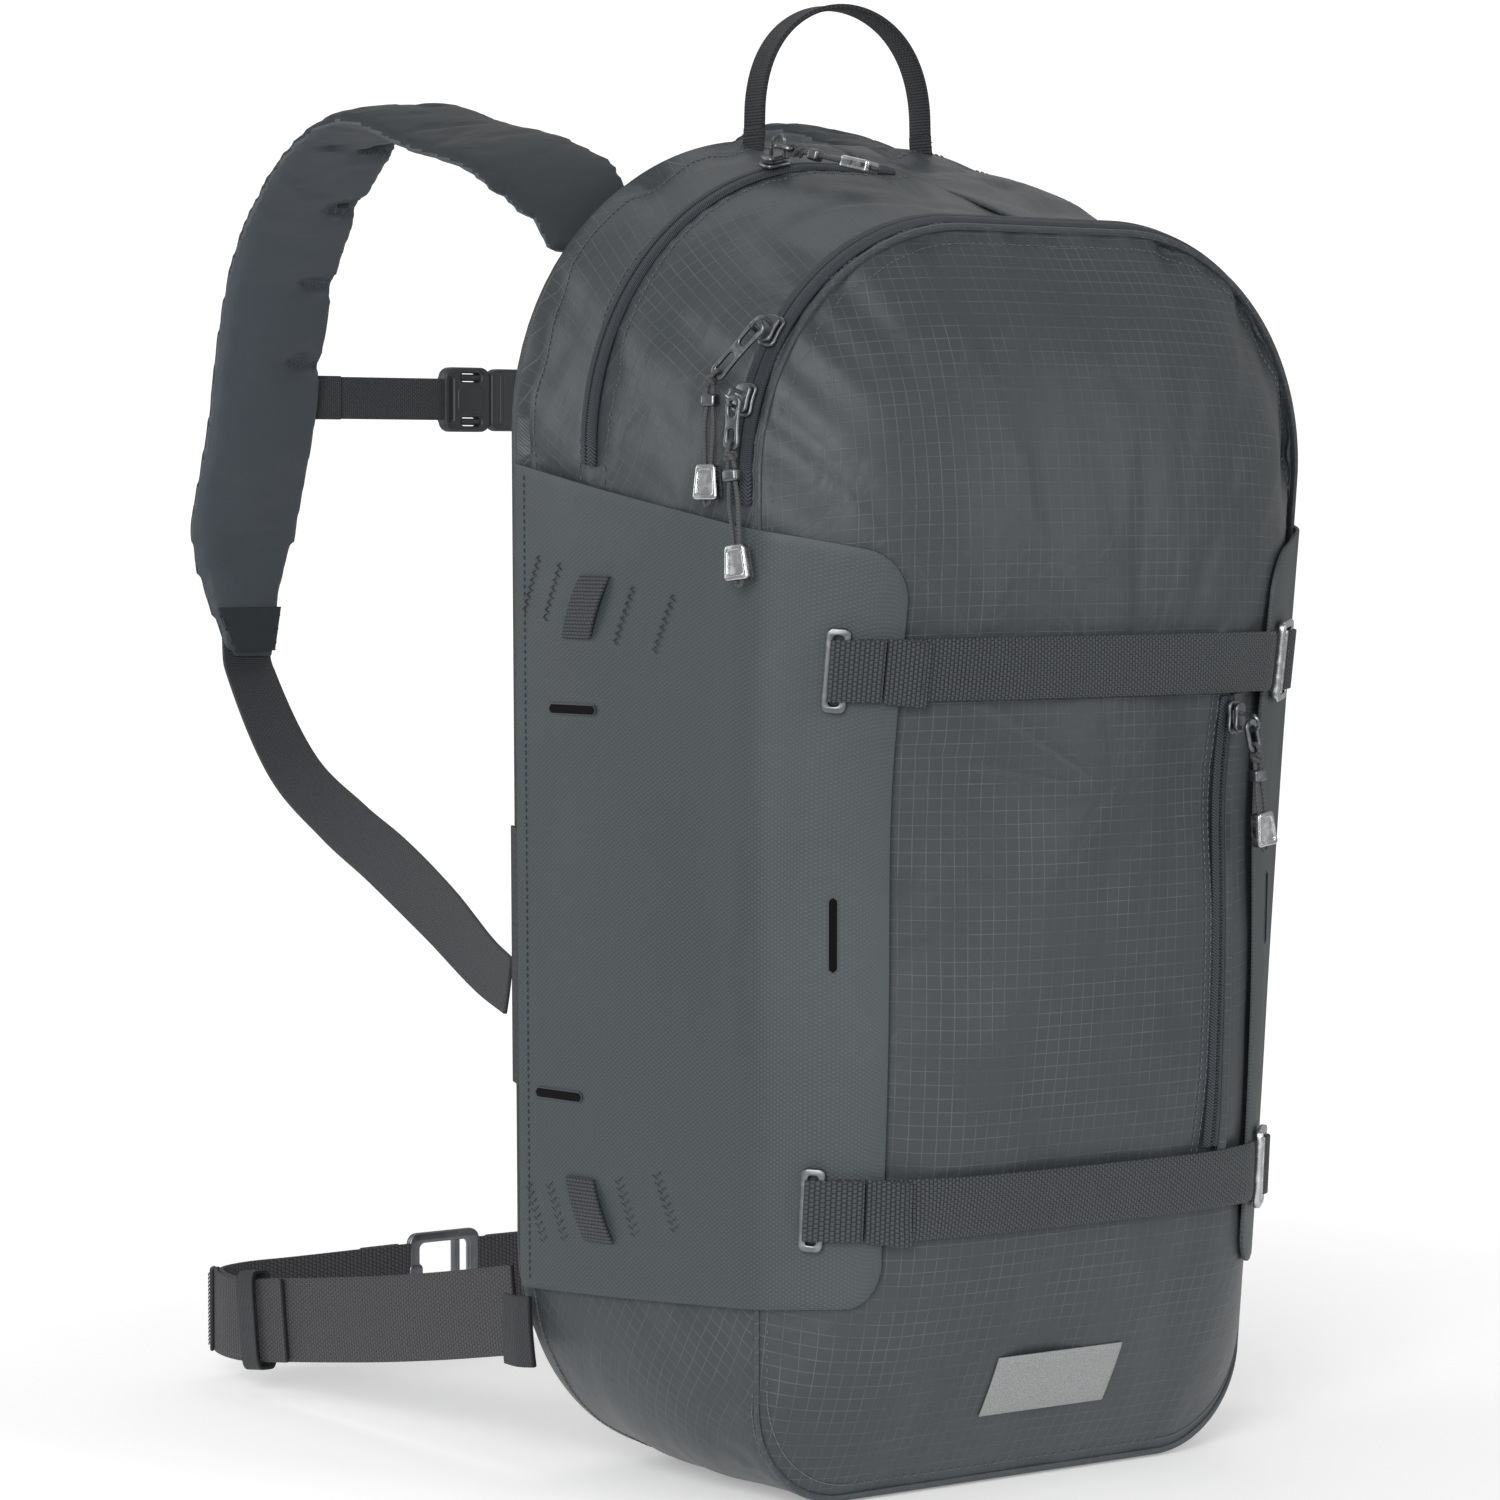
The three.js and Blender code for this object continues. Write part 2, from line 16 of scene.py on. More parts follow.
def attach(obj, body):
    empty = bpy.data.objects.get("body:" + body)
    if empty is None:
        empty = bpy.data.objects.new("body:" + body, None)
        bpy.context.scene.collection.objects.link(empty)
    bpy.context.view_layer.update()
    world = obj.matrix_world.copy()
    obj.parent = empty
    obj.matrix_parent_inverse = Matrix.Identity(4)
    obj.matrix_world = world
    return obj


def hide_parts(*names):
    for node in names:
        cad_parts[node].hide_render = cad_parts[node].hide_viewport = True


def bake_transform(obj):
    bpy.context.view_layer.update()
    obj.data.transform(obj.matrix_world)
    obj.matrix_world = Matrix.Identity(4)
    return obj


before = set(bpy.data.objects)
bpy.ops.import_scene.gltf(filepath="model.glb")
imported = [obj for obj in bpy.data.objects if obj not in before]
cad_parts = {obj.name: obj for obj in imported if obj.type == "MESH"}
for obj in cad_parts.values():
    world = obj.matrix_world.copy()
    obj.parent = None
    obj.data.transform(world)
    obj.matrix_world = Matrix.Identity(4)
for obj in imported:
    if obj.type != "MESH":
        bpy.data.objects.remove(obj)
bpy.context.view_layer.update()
print("frame with", len(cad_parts), "parts")

# %% [markdown]
# ## Camera
# The pack is seen from its front left, a little above the middle, by a long lens that keeps its sides
# nearly parallel. A shorter lens could frame it too, but would swell the near corner.

# %% Place the camera
view = bpy.data.cameras.new("view")
view.lens = 117.74
view.sensor_width = 36
view.clip_end = 20
camera = bpy.data.objects.new("view", view)
camera.location = (-1.283, -1.640, 0.408)
camera.rotation_euler = (math.radians(87.1), 0, math.radians(-36))
bpy.context.scene.collection.objects.link(camera)
bpy.context.scene.camera = camera
bpy.context.scene.view_settings.view_transform = "Standard"
print("camera at", tuple(camera.location))

# %% [markdown]
# ## Driving dimensions
# A bag like this is cut from two rounded outlines, one at the wearer's back and one at the front seam,
# with a wall between them and a dome in front. Everything sewn on it is placed by those shapes, so they
# are formulas here and not sculpted by hand.

# %% Sizes of the bag, in millimetres
MM = 0.001
BACK_EDGE = 75  # from the back edge to the middle of the flat bottom, where the frame has its origin
BACK = {"high": 162, "low": 160, "top": 565, "bottom": 0, "top_radius": 126, "bottom_radius": 95}
FRONT = {"high": 143, "low": 129, "top": 520, "bottom": 0, "top_radius": 100, "bottom_radius": 44}
SIDE_SWELL = 5
DOME = 56
DOME_HEIGHT = 290
BAG_MIDDLE = Vector((0, -75, DOME_HEIGHT))
FLAP_LIFT = 1
FLAP_THICK = 1.8
FLAP_EDGE = 95
STRAP_LIFT = 3.4
WEBBING = 25
WEBBING_THICK = 2
STRAP_HEIGHTS = {"upper": 342, "lower": 126}
HOOK_X = -116
LADDER_X = 108
FRONT_ZIP_DEPTH = 0.955
REAR_ZIP_DEPTH = 0.38
POCKET_ZIP_X = 66
print("bag", 2 * BACK["high"], "mm wide and", BACK["top"], "mm high")

# %% The outlines and the wall between them
STRETCHES = (0, 0.06, 0.34, 0.66, 0.92, 1)  # top, top corner, side, bottom corner, bottom


def mix(a, b, share):
    return a + (b - a) * share


def outline_point(o, f):
    """x and z of a rounded outline: f is 0 at the top middle, goes round +X to 0.5 at the bottom."""
    side = 1 if f <= 0.5 else -1
    half = 2 * min(f, 1 - f)
    n = min(4, sum(half >= start for start in STRETCHES) - 1)
    share = (half - STRETCHES[n]) / (STRETCHES[n + 1] - STRETCHES[n])
    turn = share * math.pi / 2
    top_x = o["high"] - o["top_radius"]
    bottom_x = o["low"] - o["bottom_radius"]
    top_z = o["top"] - o["top_radius"]
    bottom_z = o["bottom"] + o["bottom_radius"]
    if n == 0:
        x, z = top_x * share, o["top"]
    elif n == 1:
        x, z = top_x + o["top_radius"] * math.sin(turn), top_z + o["top_radius"] * math.cos(turn)
    elif n == 2:
        x, z = mix(o["high"], o["low"], share), mix(top_z, bottom_z, share)
    elif n == 3:
        x = bottom_x + o["bottom_radius"] * math.cos(turn)
        z = bottom_z - o["bottom_radius"] * math.sin(turn)
    else:
        x, z = bottom_x * (1 - share), o["bottom"]
    return side * x, z


def outline_at(depth):
    o = {key: mix(BACK[key], FRONT[key], depth) for key in BACK}
    swell = SIDE_SWELL * math.sin(math.pi * depth)
    o["high"] += swell
    o["low"] += swell
    return o


def wall_depth(z):
    return 127 + 0.053 * z


def wall(f, depth):
    """A point of the side wall: depth is 0 at the back edge and 1 at the front seam."""
    x, z = outline_point(outline_at(depth), f % 1)
    return Vector((x, -depth * wall_depth(z), z))


print("front seam stands", round(-wall(0.25, 1).y), "mm before the back edge")

# %% The domed front
def falling(measure, value):
    """The f of a half outline where a falling measure comes down to a value."""
    low, high = 0, 0.5
    for _ in range(22):
        middle = (low + high) / 2
        if measure(middle) > value:
            low = middle
        else:
            high = middle
    return low


def half_width(z, depth):
    o = outline_at(depth)
    return outline_point(o, falling(lambda f: outline_point(o, f)[1], z))[0]


def angle_on_front(x, z):
    return math.atan2(z - DOME_HEIGHT, abs(x))


def reach_of(x, z):
    """0 at the dome's middle and 1 at its seam."""
    f = falling(lambda f: angle_on_front(*outline_point(FRONT, f)), angle_on_front(x, z))
    edge_x, edge_z = outline_point(FRONT, f)
    return min(1, math.hypot(x, z - DOME_HEIGHT) / math.hypot(edge_x, edge_z - DOME_HEIGHT))


def dome_rise(x, z, reach):
    steep = math.sin(math.atan2(z - DOME_HEIGHT, x)) ** 2
    return DOME * (1 - reach ** (2.3 + 1.5 * steep))


def front(x, z):
    return Vector((x, -wall_depth(z) - dome_rise(x, z, reach_of(x, z)), z))


def around(side, z, s, start=0.06, edge_x=FLAP_EDGE):
    """Round the bag at one height: s runs from 0 on the side wall to 1 at edge_x on the front."""
    corner = 0.7
    if s < corner:
        depth = mix(start, 1, s / corner)
        return Vector((side * half_width(z, depth), -depth * wall_depth(z), z))
    return front(side * mix(half_width(z, 1), edge_x, (s - corner) / (1 - corner)), z)


print("the dome stands", round(-front(0, 290).y), "mm before the back edge")

# %% [markdown]
# ## Tools for cloth
# Cloth on this bag is never a free sheet: it lies on a shape. So each panel starts as a flat grid, which
# carries the cut cloth's own measure as its UV map, and is then laid on a formula. The weave follows the
# UV map, as real weave follows the cut.

# %% Turn a drawing into a piece
SHARP = math.radians(42)  # shading breaks at an edge that turns more than this
SOFTENED = math.radians(50)  # a bevel rounds an edge that turns more than this


def piece(name, bm, finish, body=None, stands_for=(), thick=0, bevel=0, rounds=0):
    """The bmesh becomes an object in the frame. It may get a wall, softened edges and subdivision."""
    into_frame = Matrix.Scale(MM, 4) @ Matrix.Translation((0, BACK_EDGE, 0))
    bmesh.ops.transform(bm, matrix=into_frame, verts=bm.verts)
    mesh = bpy.data.meshes.new(name)
    bm.to_mesh(mesh)
    bm.free()
    mesh.materials.append(finish)
    mesh.shade_smooth()
    mesh.set_sharp_from_angle(angle=SHARP)
    made = bpy.data.objects.new(name, mesh)
    bpy.context.scene.collection.objects.link(made)
    if thick:
        wall_of = made.modifiers.new("thickness", "SOLIDIFY")
        wall_of.thickness = thick * MM
        wall_of.offset = -1
        wall_of.use_even_offset = True
    if bevel:
        soft = made.modifiers.new("soft edges", "BEVEL")
        soft.width = bevel * MM
        soft.segments = 2
        soft.limit_method = "ANGLE"
        soft.angle_limit = SOFTENED
    if rounds:
        finer = made.modifiers.new("finer", "SUBSURF")
        finer.levels = rounds
        finer.render_levels = rounds
    if body:
        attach(made, body)
    if stands_for:
        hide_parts(*stands_for)
    return made


# %% A grid laid on a surface
def face_out(bm, middle=BAG_MIDDLE):
    bm.normal_update()
    facing = sum(f.normal.dot(f.calc_center_median() - middle) * f.calc_area() for f in bm.faces)
    if facing < 0:
        bmesh.ops.reverse_faces(bm, faces=bm.faces)
        bm.normal_update()


def laid(surface, size, steps, lift=0, middle=BAG_MIDDLE, loop=False):
    """A grid of that many steps on surface(u, v), pushed off it by lift, a number or a function."""
    bm = bmesh.new()
    bmesh.ops.create_grid(bm, x_segments=steps[0], y_segments=steps[1], size=0.5)
    cloth = bm.loops.layers.uv.new("cloth")
    place = {v: (v.co.x + 0.5, v.co.y + 0.5) for v in bm.verts}
    for face in bm.faces:
        for corner in face.loops:
            u, v = place[corner.vert]
            corner[cloth].uv = size(u, v) if callable(size) else (u * size[0], v * size[1])
    for vert, (u, v) in place.items():
        vert.co = surface(u, v)
    face_out(bm, middle)
    for vert, (u, v) in place.items():
        vert.co += vert.normal * (lift(u, v) if callable(lift) else lift)
    if loop:
        bmesh.ops.remove_doubles(bm, verts=bm.verts, dist=0.01)
    return bm


def smooth_route(points):
    """A function of t from 0 to 1 that passes through the points at an even pace."""
    knots = [Vector(p) for p in points]
    fine = []
    for n in range(len(knots) - 1):
        a, b, c, d = (knots[min(max(n + k, 0), len(knots) - 1)] for k in (-1, 0, 1, 2))
        step = (c - b).length
        before = (b - a).length or step
        after = (d - c).length or step
        leave = (c - a) * (step / (before + step)) if n else c - b
        arrive = (d - b) * (step / (after + step)) if n < len(knots) - 2 else c - b
        for k in range(12):
            t = k / 12
            fine.append(b * (2 * t**3 - 3 * t**2 + 1) + c * (3 * t**2 - 2 * t**3)
                        + leave * (t**3 - 2 * t**2 + t) + arrive * (t**3 - t**2))
    fine.append(knots[-1])
    lengths = [0]
    for a, b in zip(fine, fine[1:]):
        lengths.append(lengths[-1] + (b - a).length)

    def at(t):
        goal = min(max(t, 0), 1) * lengths[-1]
        n = min(len(fine) - 2, max(0, sum(length <= goal for length in lengths) - 1))
        span = lengths[n + 1] - lengths[n] or 1
        return fine[n].lerp(fine[n + 1], (goal - lengths[n]) / span)

    at.length = lengths[-1]
    return at


def tangent(route, t):
    return (route(min(1, t + 0.01)) - route(max(0, t - 0.01))).normalized()


# %% Ribbons, tubes and rows of stitches
def ribbon(route, wide, width, steps, crown=0, across_steps=4):
    """Webbing along a route. wide(t) is the direction of its width, and crown bows it across."""
    def surface(u, v):
        along = tangent(route, v)
        across = wide(v) - along * wide(v).dot(along)
        across.normalize()
        out = across.cross(along)
        return route(v) + across * ((u - 0.5) * width) + out * (crown * (1 - (2 * u - 1) ** 2))

    return laid(surface, (width, route.length), (across_steps, steps))


def tube(route, radius, steps, around_steps=8, closed=False):
    """A round cord along a route."""
    def surface(u, v):
        along = tangent(route, v)
        across = along.orthogonal().normalized()
        if abs(along.z) < 0.95:
            across = along.cross(Vector((0, 0, 1))).normalized()
        over = along.cross(across)
        turn = 2 * math.pi * u
        return route(v) + (across * math.cos(turn) + over * math.sin(turn)) * radius

    bm = laid(surface, (2 * math.pi * radius, route.length), (around_steps, steps), loop=True)
    if not closed:
        bmesh.ops.holes_fill(bm, edges=[e for e in bm.edges if e.is_boundary], sides=around_steps + 1)
    bmesh.ops.recalc_face_normals(bm, faces=bm.faces)
    return bm


def stitches(bm, places, length, radius, height=None):
    """Adds one thread bead for each place, given as its middle, its direction and its normal."""
    for first in range(0, len(places), 30):  # a few at a time, because one long list grows slow
        few = bmesh.new()
        for middle, along, out in places[first:first + 30]:
            x = along.normalized()
            z = (out - x * out.dot(x)).normalized()
            turn = Matrix((x, z.cross(x), z)).transposed().to_4x4()
            shape = Matrix.Diagonal((length / 2, radius, height or radius, 1))
            bmesh.ops.create_uvsphere(few, u_segments=6, v_segments=4, radius=1,
                                      matrix=Matrix.Translation(middle) @ turn @ shape)
        beads = bpy.data.meshes.new("beads")
        few.to_mesh(beads)
        few.free()
        bm.from_mesh(beads)
        bpy.data.meshes.remove(beads)


def along_surface(surface, a, b, pitch, lift):
    """Places for stitches on a surface, in a straight run from (u, v) a to b."""
    points = [surface(mix(a[0], b[0], n / 40), mix(a[1], b[1], n / 40)) for n in range(41)]
    total = sum((q - p).length for p, q in zip(points, points[1:]))
    count = max(2, round(total / pitch))
    places = []
    for n in range(count):
        t = (n + 0.5) / count
        u, v = mix(a[0], b[0], t), mix(a[1], b[1], t)
        here = surface(u, v)
        along = surface(mix(a[0], b[0], t + 0.01), mix(a[1], b[1], t + 0.01)) - here
        aside = surface(u + (b[1] - a[1]) * 0.01 + 1e-4, v - (b[0] - a[0]) * 0.01 + 1e-4) - here
        out = along.cross(aside)
        if out.dot(here - BAG_MIDDLE) < 0:
            out.negate()
        out.normalize()
        places.append((here + out * lift, along, out))
    return places


print("tools ready")

# %% [markdown]
# ## Weaves as node groups
# Ripstop, webbing ribs, dot-coated cloth and herringbone tape are all periodic, so each is a small group
# of waves on the cloth's own measure in millimetres. A picture of cloth could be tiled, but waves keep
# their scale on every panel and need no file. Each group gives a height for bumps and a mask for colour.

# %% Helpers for nodes
def add(tree, kind, inputs=(), **settings):
    """A node with its settings, and each input either linked to a socket or set to a value."""
    made = tree.nodes.new(kind)
    for key, value in settings.items():
        setattr(made, key, value)
    for key, value in dict(inputs).items():
        if isinstance(value, bpy.types.NodeSocket):
            tree.links.new(value, made.inputs[key])
        else:
            made.inputs[key].default_value = value
    return made


def calc(tree, operation, a, b=0.0, c=0.0):
    return add(tree, "ShaderNodeMath", {0: a, 1: b, 2: c}, operation=operation).outputs[0]


def soften(tree, value, low, high):
    """0 below low, 1 above high, smooth between."""
    made = add(tree, "ShaderNodeMapRange", {0: value, 1: low, 2: high}, interpolation_type="SMOOTHSTEP")
    return made.outputs[0]


def tint(tree, factor, a, b):
    made = add(tree, "ShaderNodeMix", {0: factor, 6: a, 7: b}, data_type="RGBA")
    return made.outputs[2]


def colour(red, green, blue):
    return (red, green, blue, 1)


def shaded(tone, factor):
    """A tone made darker or paler by a factor."""
    return colour(*[c * factor for c in tone])


def group(name, inputs, outputs):
    """A shader node group: its tree, its input sockets by name, and its output node."""
    tree = bpy.data.node_groups.new(name, "ShaderNodeTree")
    for label, kind, value in inputs:
        socket = tree.interface.new_socket(label, in_out="INPUT", socket_type=kind)
        if value is not None:
            socket.default_value = value
    for label in outputs:
        tree.interface.new_socket(label, in_out="OUTPUT", socket_type="NodeSocketFloat")
    return tree, add(tree, "NodeGroupInput").outputs, add(tree, "NodeGroupOutput")


def finish_group(tree, end, values):
    for label, value in values.items():
        tree.links.new(value, end.inputs[label])
    return tree


VECTOR = "NodeSocketVector"
FLOAT = "NodeSocketFloat"


# %% Ripstop: a fine diagonal twill under a grid of thicker threads
def ripstop_group():
    tree, given, end = group("ripstop", [("Cloth", VECTOR, None), ("Square", FLOAT, 5.5)], ["Line", "Height"])
    split = add(tree, "ShaderNodeSeparateXYZ", {0: given["Cloth"]}).outputs
    half = calc(tree, "MULTIPLY", given["Square"], 0.5)
    lines = []
    for axis in (0, 1):
        fold = calc(tree, "PINGPONG", split[axis], half)
        lines.append(soften(tree, fold, 0.26, 0.1))
    line = calc(tree, "MAXIMUM", lines[0], lines[1])
    slant = calc(tree, "ADD", calc(tree, "MULTIPLY", split[0], 6.6), calc(tree, "MULTIPLY", split[1], 5.0))
    twill = calc(tree, "MULTIPLY", calc(tree, "SINE", slant), 0.22)
    height = calc(tree, "ADD", calc(tree, "MULTIPLY", line, 0.9), twill)
    return finish_group(tree, end, {"Line": line, "Height": height})


# %% Webbing: ribs across its length, each bound by a row of small floats
def webbing_group():
    tree, given, end = group("webbing", [("Cloth", VECTOR, None), ("Rib", FLOAT, 1.5)], ["Gap", "Height"])
    split = add(tree, "ShaderNodeSeparateXYZ", {0: given["Cloth"]}).outputs
    rib = calc(tree, "DIVIDE", split[1], given["Rib"])
    row = calc(tree, "MULTIPLY", calc(tree, "FLOOR", rib), 0.5)
    float_at = calc(tree, "ADD", calc(tree, "DIVIDE", split[0], 1.9), row)
    across = calc(tree, "ABSOLUTE", calc(tree, "SINE", calc(tree, "MULTIPLY", rib, math.pi)))
    beside = calc(tree, "ABSOLUTE", calc(tree, "SINE", calc(tree, "MULTIPLY", float_at, math.pi)))
    height = calc(tree, "MULTIPLY", calc(tree, "POWER", across, 0.6), calc(tree, "POWER", beside, 0.4))
    # Gap is high in the low places between the ribs, where the finish paints shade.
    return finish_group(tree, end, {"Gap": soften(tree, height, 0.62, 0.2), "Height": height})


# %% Coated cloth: staggered dots
def dots_group():
    tree, given, end = group("dots", [("Cloth", VECTOR, None)], ["Dot"])
    split = add(tree, "ShaderNodeSeparateXYZ", {0: given["Cloth"]}).outputs
    waves = [calc(tree, "COSINE", calc(tree, "MULTIPLY", split[axis], 2 * math.pi / pitch))
             for axis, pitch in ((0, 2.6), (1, 1.9))]
    dot = soften(tree, calc(tree, "MULTIPLY", waves[0], waves[1]), 0.1, 0.75)
    return finish_group(tree, end, {"Dot": dot})


# %% Herringbone tape: slanted ribs that turn back at each stripe
def herringbone_group():
    tree, given, end = group("herringbone", [("Cloth", VECTOR, None)], ["Height"])
    split = add(tree, "ShaderNodeSeparateXYZ", {0: given["Cloth"]}).outputs
    stripe = calc(tree, "PINGPONG", split[0], 2.4)
    slant = calc(tree, "ADD", calc(tree, "MULTIPLY", stripe, 4.2), calc(tree, "MULTIPLY", split[1], 5.2))
    return finish_group(tree, end, {"Height": calc(tree, "SINE", slant)})


# %% Use: slow patches of tone, and creases, both read from the piece's place
def use_group():
    tree, given, end = group("use", [("Place", VECTOR, None), ("Size", FLOAT, 1.0)], ["Patch", "Crease"])
    spot = add(tree, "ShaderNodeVectorMath", {0: given["Place"], "Scale": given["Size"]}, operation="SCALE")
    patch = add(tree, "ShaderNodeTexNoise", {"Vector": spot.outputs[0], "Scale": 9.0, "Detail": 4.0})
    crease = add(tree, "ShaderNodeTexNoise", {"Vector": spot.outputs[0], "Scale": 34.0, "Detail": 3.0,
                                              "Distortion": 1.2})
    return finish_group(tree, end, {"Patch": patch.outputs[0], "Crease": crease.outputs[0]})


GROUPS = {made.name: made for made in (ripstop_group(), webbing_group(), dots_group(), herringbone_group(),
                                       use_group())}
print("node groups:", ", ".join(GROUPS))

# %% [markdown]
# ## Fabric finishes
# Cloth is a rough dielectric with a soft sheen at grazing angles. What tells ripstop from webbing is the
# weave's relief and the slightly paler threads on top, so each finish mixes two close tones by its weave's
# mask and bumps by its height. In webbing, zip tape and thread the darker tone is painted shade in the
# weave's low places. Slow patches keep a large panel from looking printed.

# %% Shared frame of a finish
def finish(name, slot_name):
    material = bpy.data.materials.new(name)
    material.use_nodes = True
    tree = material.node_tree
    shader = tree.nodes["Principled BSDF"]
    place = add(tree, "ShaderNodeTexCoord").outputs
    use = add(tree, "ShaderNodeGroup", {}, node_tree=GROUPS["use"])
    tree.links.new(place["Object"], use.inputs["Place"])
    return material, tree, shader, place, use.outputs


def cloth_vector(tree, place, turn=0):
    """The cloth's own measure in millimetres, turned by an angle in degrees."""
    turned = add(tree, "ShaderNodeMapping", {"Vector": place["UV"], "Rotation": (0, 0, math.radians(turn))})
    return turned.outputs[0]


def weave(tree, name, vector, **values):
    made = add(tree, "ShaderNodeGroup", {}, node_tree=GROUPS[name])
    tree.links.new(vector, made.inputs["Cloth"])
    for label, value in values.items():
        made.inputs[label].default_value = value
    return made.outputs


def relief(tree, shader, layers):
    """Stacks bumps: each layer is a height, its distance in millimetres and its strength."""
    normal = None
    for height, distance, strength in layers:
        inputs = {"Height": height, "Distance": distance * MM, "Strength": strength}
        if normal:
            inputs["Normal"] = normal
        normal = add(tree, "ShaderNodeBump", inputs).outputs[0]
    tree.links.new(normal, shader.inputs["Normal"])


def set_shader(shader, **values):
    for label, value in values.items():
        shader.inputs[label.replace("_", " ")].default_value = value


def ripstop(name, slot_name, ground, thread, turn=0, roughness=0.37, grid=0.95):
    """grid is how strongly the thicker threads show where they are least worn."""
    material, tree, shader, place, use = finish(name, slot_name)
    cloth = weave(tree, "ripstop", cloth_vector(tree, place, turn))
    patch = soften(tree, use["Patch"], 0.3, 0.7)
    shade = tint(tree, patch, shaded(ground, 0.88), colour(*ground))
    worn = calc(tree, "MULTIPLY", soften(tree, use["Crease"], 0.2, 0.75), grid)
    faint = calc(tree, "MULTIPLY", cloth["Line"], worn)
    tree.links.new(tint(tree, faint, shade, colour(*thread)), shader.inputs["Base Color"])
    rough = calc(tree, "ADD", roughness, calc(tree, "MULTIPLY", use["Crease"], 0.14))
    tree.links.new(rough, shader.inputs["Roughness"])
    relief(tree, shader, [(use["Crease"], 2.6, 0.4), (cloth["Height"], 0.16, 0.5)])
    set_shader(shader, Sheen_Weight=0.03, Sheen_Roughness=0.4, Specular_IOR_Level=0.34)
    return material


def webbing(name, slot_name, ground, rib=1.5, gap=0.35, depth=0.5):
    material, tree, shader, place, use = finish(name, slot_name)
    cloth = weave(tree, "webbing", cloth_vector(tree, place), Rib=rib)
    shade = tint(tree, use["Patch"], shaded(ground, 0.8), shaded(ground, 1.15))
    # The rib gaps are painted darker, to the tone that gap sets: painted shade between the ribs.
    dark = tint(tree, calc(tree, "MULTIPLY", cloth["Gap"], 0.8), shade, shaded(ground, gap * 0.6))
    tree.links.new(dark, shader.inputs["Base Color"])
    relief(tree, shader, [(use["Crease"], 0.8, 0.15), (cloth["Height"], depth, 1.0)])
    set_shader(shader, Roughness=0.55, Sheen_Weight=0.04, Sheen_Roughness=0.5, Specular_IOR_Level=0.35)
    return material


print("finishes are built from", len(GROUPS), "groups")


# %% Coated cloth of the side flaps, and herringbone tape
def coated(name, slot_name, ground):
    material, tree, shader, place, use = finish(name, slot_name)
    vector = cloth_vector(tree, place)
    dot = weave(tree, "dots", vector)["Dot"]
    speck = calc(tree, "MULTIPLY", dot, 0.8)
    patch = soften(tree, use["Patch"], 0.3, 0.7)
    shade = tint(tree, patch, shaded(ground, 0.86), colour(*ground))
    tree.links.new(tint(tree, speck, shade, shaded(ground, 1.45)), shader.inputs["Base Color"])
    rough = calc(tree, "ADD", 0.46, calc(tree, "MULTIPLY", use["Crease"], 0.12))
    tree.links.new(rough, shader.inputs["Roughness"])
    relief(tree, shader, [(use["Crease"], 1.6, 0.25), (dot, 0.14, 0.6)])
    set_shader(shader, Specular_IOR_Level=0.4)
    return material


def tape(name, slot_name, ground):
    material, tree, shader, place, use = finish(name, slot_name)
    height = weave(tree, "herringbone", cloth_vector(tree, place))["Height"]
    # The low parts of the herringbone are painted far darker: painted shade in the weave's valleys.
    pale = soften(tree, height, -0.2, 1.0)
    shade = tint(tree, pale, shaded(ground, 0.22), colour(*ground))
    tree.links.new(shade, shader.inputs["Base Color"])
    relief(tree, shader, [(use["Crease"], 0.8, 0.15), (height, 0.2, 0.7)])
    set_shader(shader, Roughness=0.6, Sheen_Weight=0.05, Specular_IOR_Level=0.3)
    return material


# %% Knitted and brushed covers of the padded parts
def knit(name, slot_name, ground, roughness=0.7, sheen=0.2):
    material, tree, shader, place, use = finish(name, slot_name)
    fine = add(tree, "ShaderNodeTexNoise", {"Vector": place["Object"], "Scale": 900.0, "Detail": 2.0})
    shade = tint(tree, use["Patch"], shaded(ground, 0.86), shaded(ground, 1.1))
    speck = calc(tree, "MULTIPLY", fine.outputs[0], 0.3)
    tree.links.new(tint(tree, speck, shade, shaded(ground, 0.5)), shader.inputs["Base Color"])
    relief(tree, shader, [(use["Crease"], 2.2, 0.3), (fine.outputs[0], 0.25, 0.5)])
    set_shader(shader, Roughness=roughness, Sheen_Weight=sheen, Sheen_Roughness=0.45, Specular_IOR_Level=0.25)
    return material


def thread(name, slot_name, ground):
    """Twisted thread and braided cord: slanted turns seen at a fine scale."""
    material, tree, shader, place, _ = finish(name, slot_name)
    turns = add(tree, "ShaderNodeTexWave", {"Vector": place["Object"], "Scale": 420.0, "Distortion": 2.0},
                bands_direction="DIAGONAL").outputs[1]
    # The turns are painted darker in their grooves and paler on their crests: painted shade and painted
    # highlight.
    shade = tint(tree, turns, shaded(ground, 0.6), shaded(ground, 1.2))
    tree.links.new(shade, shader.inputs["Base Color"])
    relief(tree, shader, [(turns, 0.15, 0.6)])
    set_shader(shader, Roughness=0.6, Sheen_Weight=0.1)
    return material


# %% [markdown]
# ## Metal and plastic
# The buckles are cast and tumbled, so their polish is a little uneven and their edges are brighter. The
# unevenness is one fine noise that raises both the roughness and the tone where the casting is worn, which
# costs a single texture and reads well at any distance.

# %% Metal and plastic finishes
def metal(name, slot_name, ground, roughness):
    material, tree, shader, place, _ = finish(name, slot_name)
    scuffs = add(tree, "ShaderNodeTexNoise", {"Vector": place["Object"], "Scale": 260.0, "Detail": 6.0})
    worn = soften(tree, scuffs.outputs[0], 0.45, 0.75)
    shade = tint(tree, worn, colour(*ground), shaded(ground, 1.35))
    tree.links.new(shade, shader.inputs["Base Color"])
    rough = calc(tree, "ADD", roughness, calc(tree, "MULTIPLY", worn, 0.16))
    tree.links.new(rough, shader.inputs["Roughness"])
    relief(tree, shader, [(scuffs.outputs[0], 0.015, 0.15)])
    set_shader(shader, Metallic=1)
    return material


